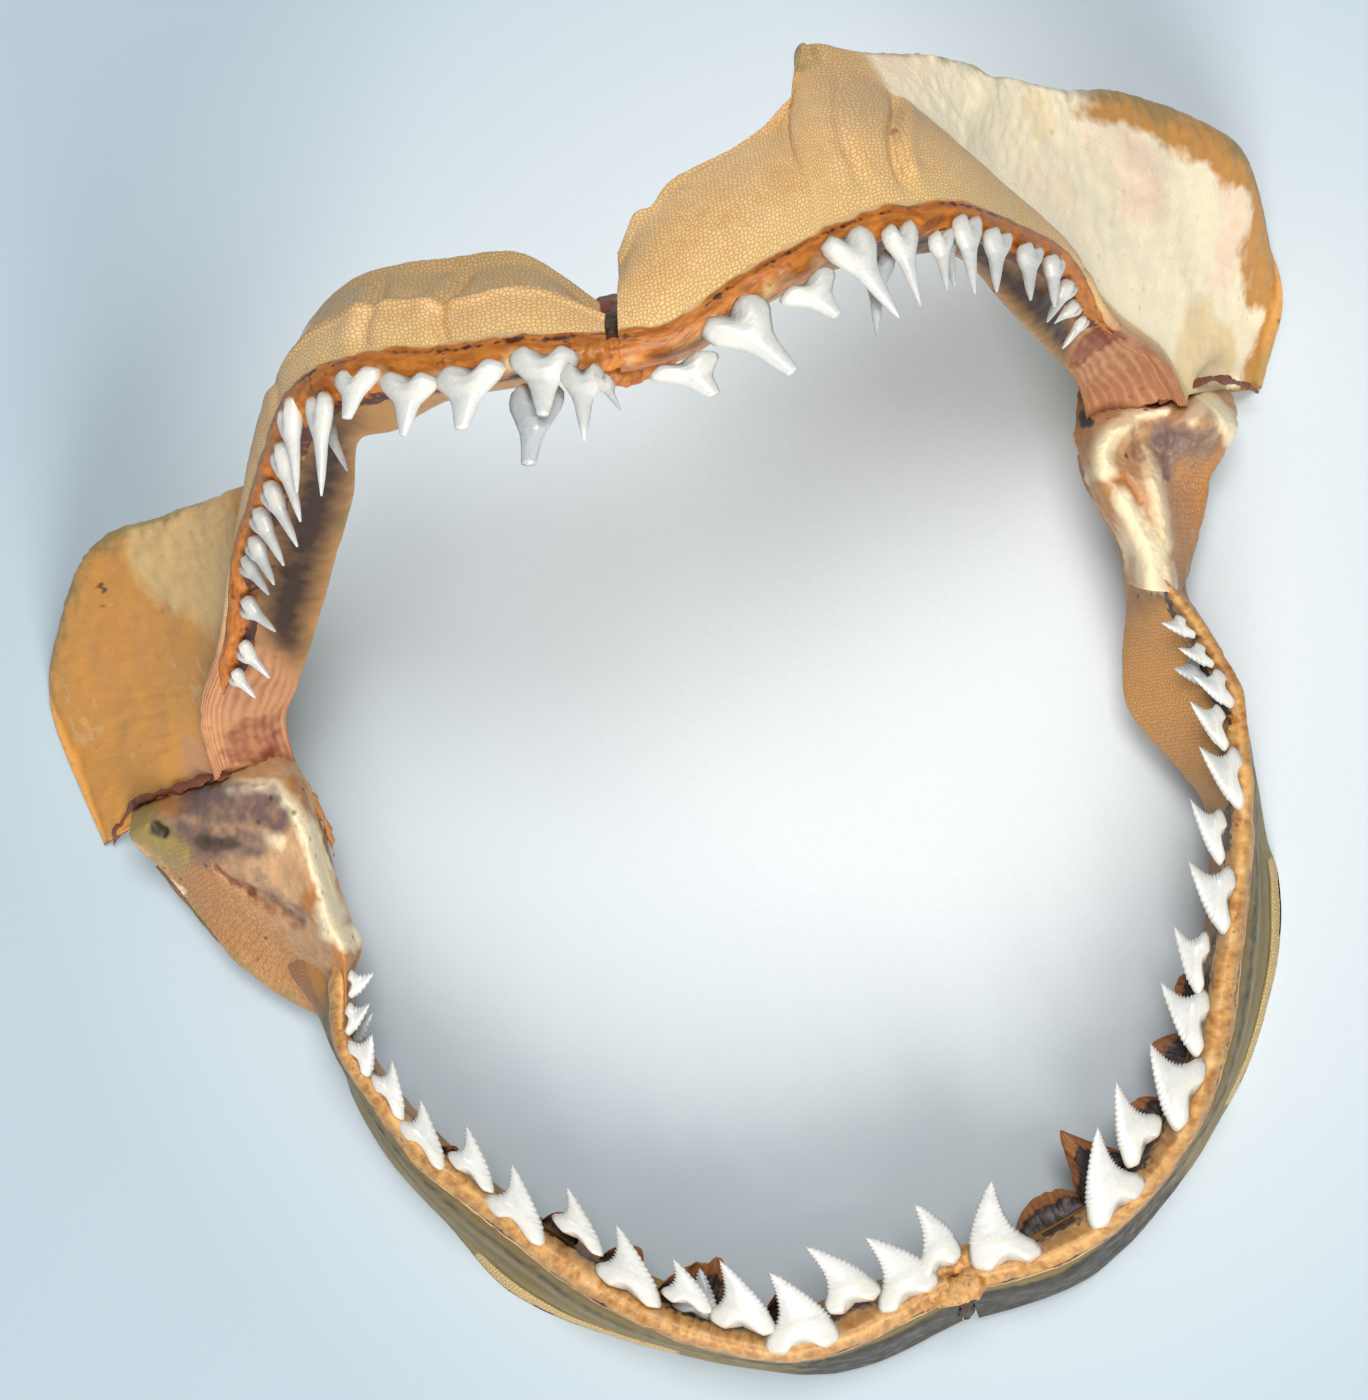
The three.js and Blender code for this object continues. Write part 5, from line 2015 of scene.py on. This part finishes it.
CHIN = Tissue(
    "lower_symphysis_tissue",
    "lower_symphysis",
    (Cord(((7, 62, 150), (6, 59, 160), (4.4, 54, 168), (3, 49, 172)), (2.2, 2.6, 2.4, 2.0), 1.6, 1.0, "torn"),
     Cord(((5.4, 59, 165), (4.4, 56, 170), (3.4, 52, 176), (2.5, 48.5, 180)), (0.8, 1.5, 1.5, 1.0), 1.2, 0.9, "black")),
)
CHIN_GUM = Tissue(
    "lower_symphysis_gum",
    "",
    (Cord(((-11, 53, 185.5), (-5, 50.5, 186.3), (1, 48.6, 186.8), (7, 48, 186.6), (13, 47.2, 186)),
          (1.0, 1.9, 2.1, 1.9, 1.0), 1.3, 0.9, "gum"),
     Cord(((-4, 49.5, 180), (1, 47.2, 179), (5, 46.2, 177), (10, 46, 174.5), (16, 46.5, 172)),
          (1.2, 2.6, 3.0, 2.4, 1.0), 1.2, 0.9, "gum")),
)
SNOUT = Tissue(
    "upper_symphysis_tissue",
    "upper_symphysis",
    (
        Cord(((-2, -187, 5), (-2, -184, 11), (-2, -180, 18), (-2, -171, 25)), (0.4, 0.8, 1.0, 0.8), 2.2, 1.0, "black"),
    ),
)
SNOUT_GUM = Tissue(
    "upper_symphysis_gum",
    "",
    (Cord(((-13, -173.6, 30), (-7, -174, 30.3), (-2, -174.2, 30.3), (3, -174.2, 30.2), (9, -174.4, 30)),
          (1.0, 2.1, 2.3, 2.1, 1.0), 1.4, 1.1, "gum"),
     Cord(((-12, -168.5, 27.5), (-6, -168.3, 28.2), (-1, -168.3, 28.4), (4, -168.5, 28.2), (9, -169.5, 27.8)),
          (0.9, 2.0, 2.2, 2.0, 0.9), 1.4, 1.1, "gum")),
)


RIGHT_FURROWS = ((5.0, 1.9), (4.35, 0.8), (3.3, 0.5), (8.2, 0.4))
LEFT_FURROWS = ((2.0, 1.3), (2.95, 1.2), (4.6, 0.6))
LOWER_RIGHT_YOUNG = (Tooth(4.45, 9, 19, -28, 4), Tooth(5.6, 7, 13, -20, 2))
LOWER_LEFT_YOUNG = (Tooth(0.85, 11, 24, 2, 5, 0.3), Tooth(4.1, 5, 17, -30, 2))
UPPER_RIGHT_YOUNG = (Tooth(9.6, 8, 9, 30, 0),)
UPPER_LEFT_YOUNG = (Tooth(3.2, 11, 14, 10, 0), Tooth(9.1, 8, 9, 30, 0))
UPPER_STRIP = dict(labial=7.5, lingual=9.0, proud=1.4, swelling=0.5, lumpy=0.8, lengthwise=False, cuff=0.3)


def build_lower(groups: Groups) -> None:
    """Builds the lower arch with its teeth and membrane.

    Args:
        groups: the shared node groups.
    """
    bone, amber = LOWER_FINISH.make(groups), LOWER_MEMBRANE.make(groups)
    enamel, grey = ENAMEL.make(groups), GREY_ENAMEL.make(groups)
    LowerCartilage(LOWER_RIGHT, RIGHT_FURROWS, ochre=(7.7, 12.5), dents=RIGHT_DENTS).build(bone)
    LowerCartilage(LOWER_LEFT, LEFT_FURROWS, ochre=(5.5, 90.0), fold_stop=4.2).build(bone)
    ToothRow(LOWER_RIGHT, LOWER_FORM, LOWER_RIGHT_TEETH, LOWER_RIGHT_YOUNG).build(enamel, grey)
    ToothRow(LOWER_LEFT, LOWER_FORM, LOWER_LEFT_TEETH, LOWER_LEFT_YOUNG).build(enamel, grey)
    MembraneStrip(LOWER_RIGHT, LOWER_RIGHT_TEETH, 0.0, 9.4).build(amber)
    MembraneStrip(LOWER_LEFT, LOWER_LEFT_TEETH, 0.0, 8.7).build(amber)


def build_upper(groups: Groups) -> None:
    """Builds the upper arch with its teeth, membrane and torn lining.

    Args:
        groups: the shared node groups.
    """
    bone, tan = UPPER_FINISH.make(groups), UPPER_MEMBRANE.make(groups)
    enamel, grey = bpy.data.materials["white_enamel"], bpy.data.materials["grey_enamel"]
    lining = LINING.make(groups)
    UpperCartilage(UPPER_RIGHT, process=(3.0, 6.4), sink=10.5).build(bone)
    UpperCartilage(UPPER_LEFT, process=(3.2, 5.4), sink=9.3).build(bone)
    ToothRow(UPPER_RIGHT, UPPER_FORM, UPPER_RIGHT_TEETH, UPPER_RIGHT_YOUNG).build(enamel, grey)
    ToothRow(UPPER_LEFT, UPPER_FORM, UPPER_LEFT_TEETH, UPPER_LEFT_YOUNG).build(enamel, grey)
    MembraneStrip(UPPER_RIGHT, UPPER_RIGHT_TEETH, 0.0, 11.2, **UPPER_STRIP).build(tan)
    MembraneStrip(UPPER_LEFT, UPPER_LEFT_TEETH, 0.0, 10.7, **UPPER_STRIP).build(tan)
    TornLining(UPPER_RIGHT, RIGHT_FLAPS).build(lining)
    TornLining(UPPER_LEFT, LEFT_FLAPS).build(lining)


def main() -> None:
    """Builds the specimen and the studio in order."""
    logging.basicConfig(level=logging.INFO, format="%(name)s: %(message)s")
    Studio().build()
    groups = Groups()
    build_lower(groups)
    build_upper(groups)
    tissue = TISSUE_FINISH.make(groups)
    for piece in (JOINT_RIGHT, JOINT_LEFT, EDGE_RIGHT, EDGE_LEFT, CHIN, SNOUT):
        piece.build(tissue)
    CHIN_GUM.build(bpy.data.materials[LOWER_MEMBRANE.name])
    SNOUT_GUM.build(bpy.data.materials[UPPER_MEMBRANE.name])


if __name__ == "__main__":
    main()
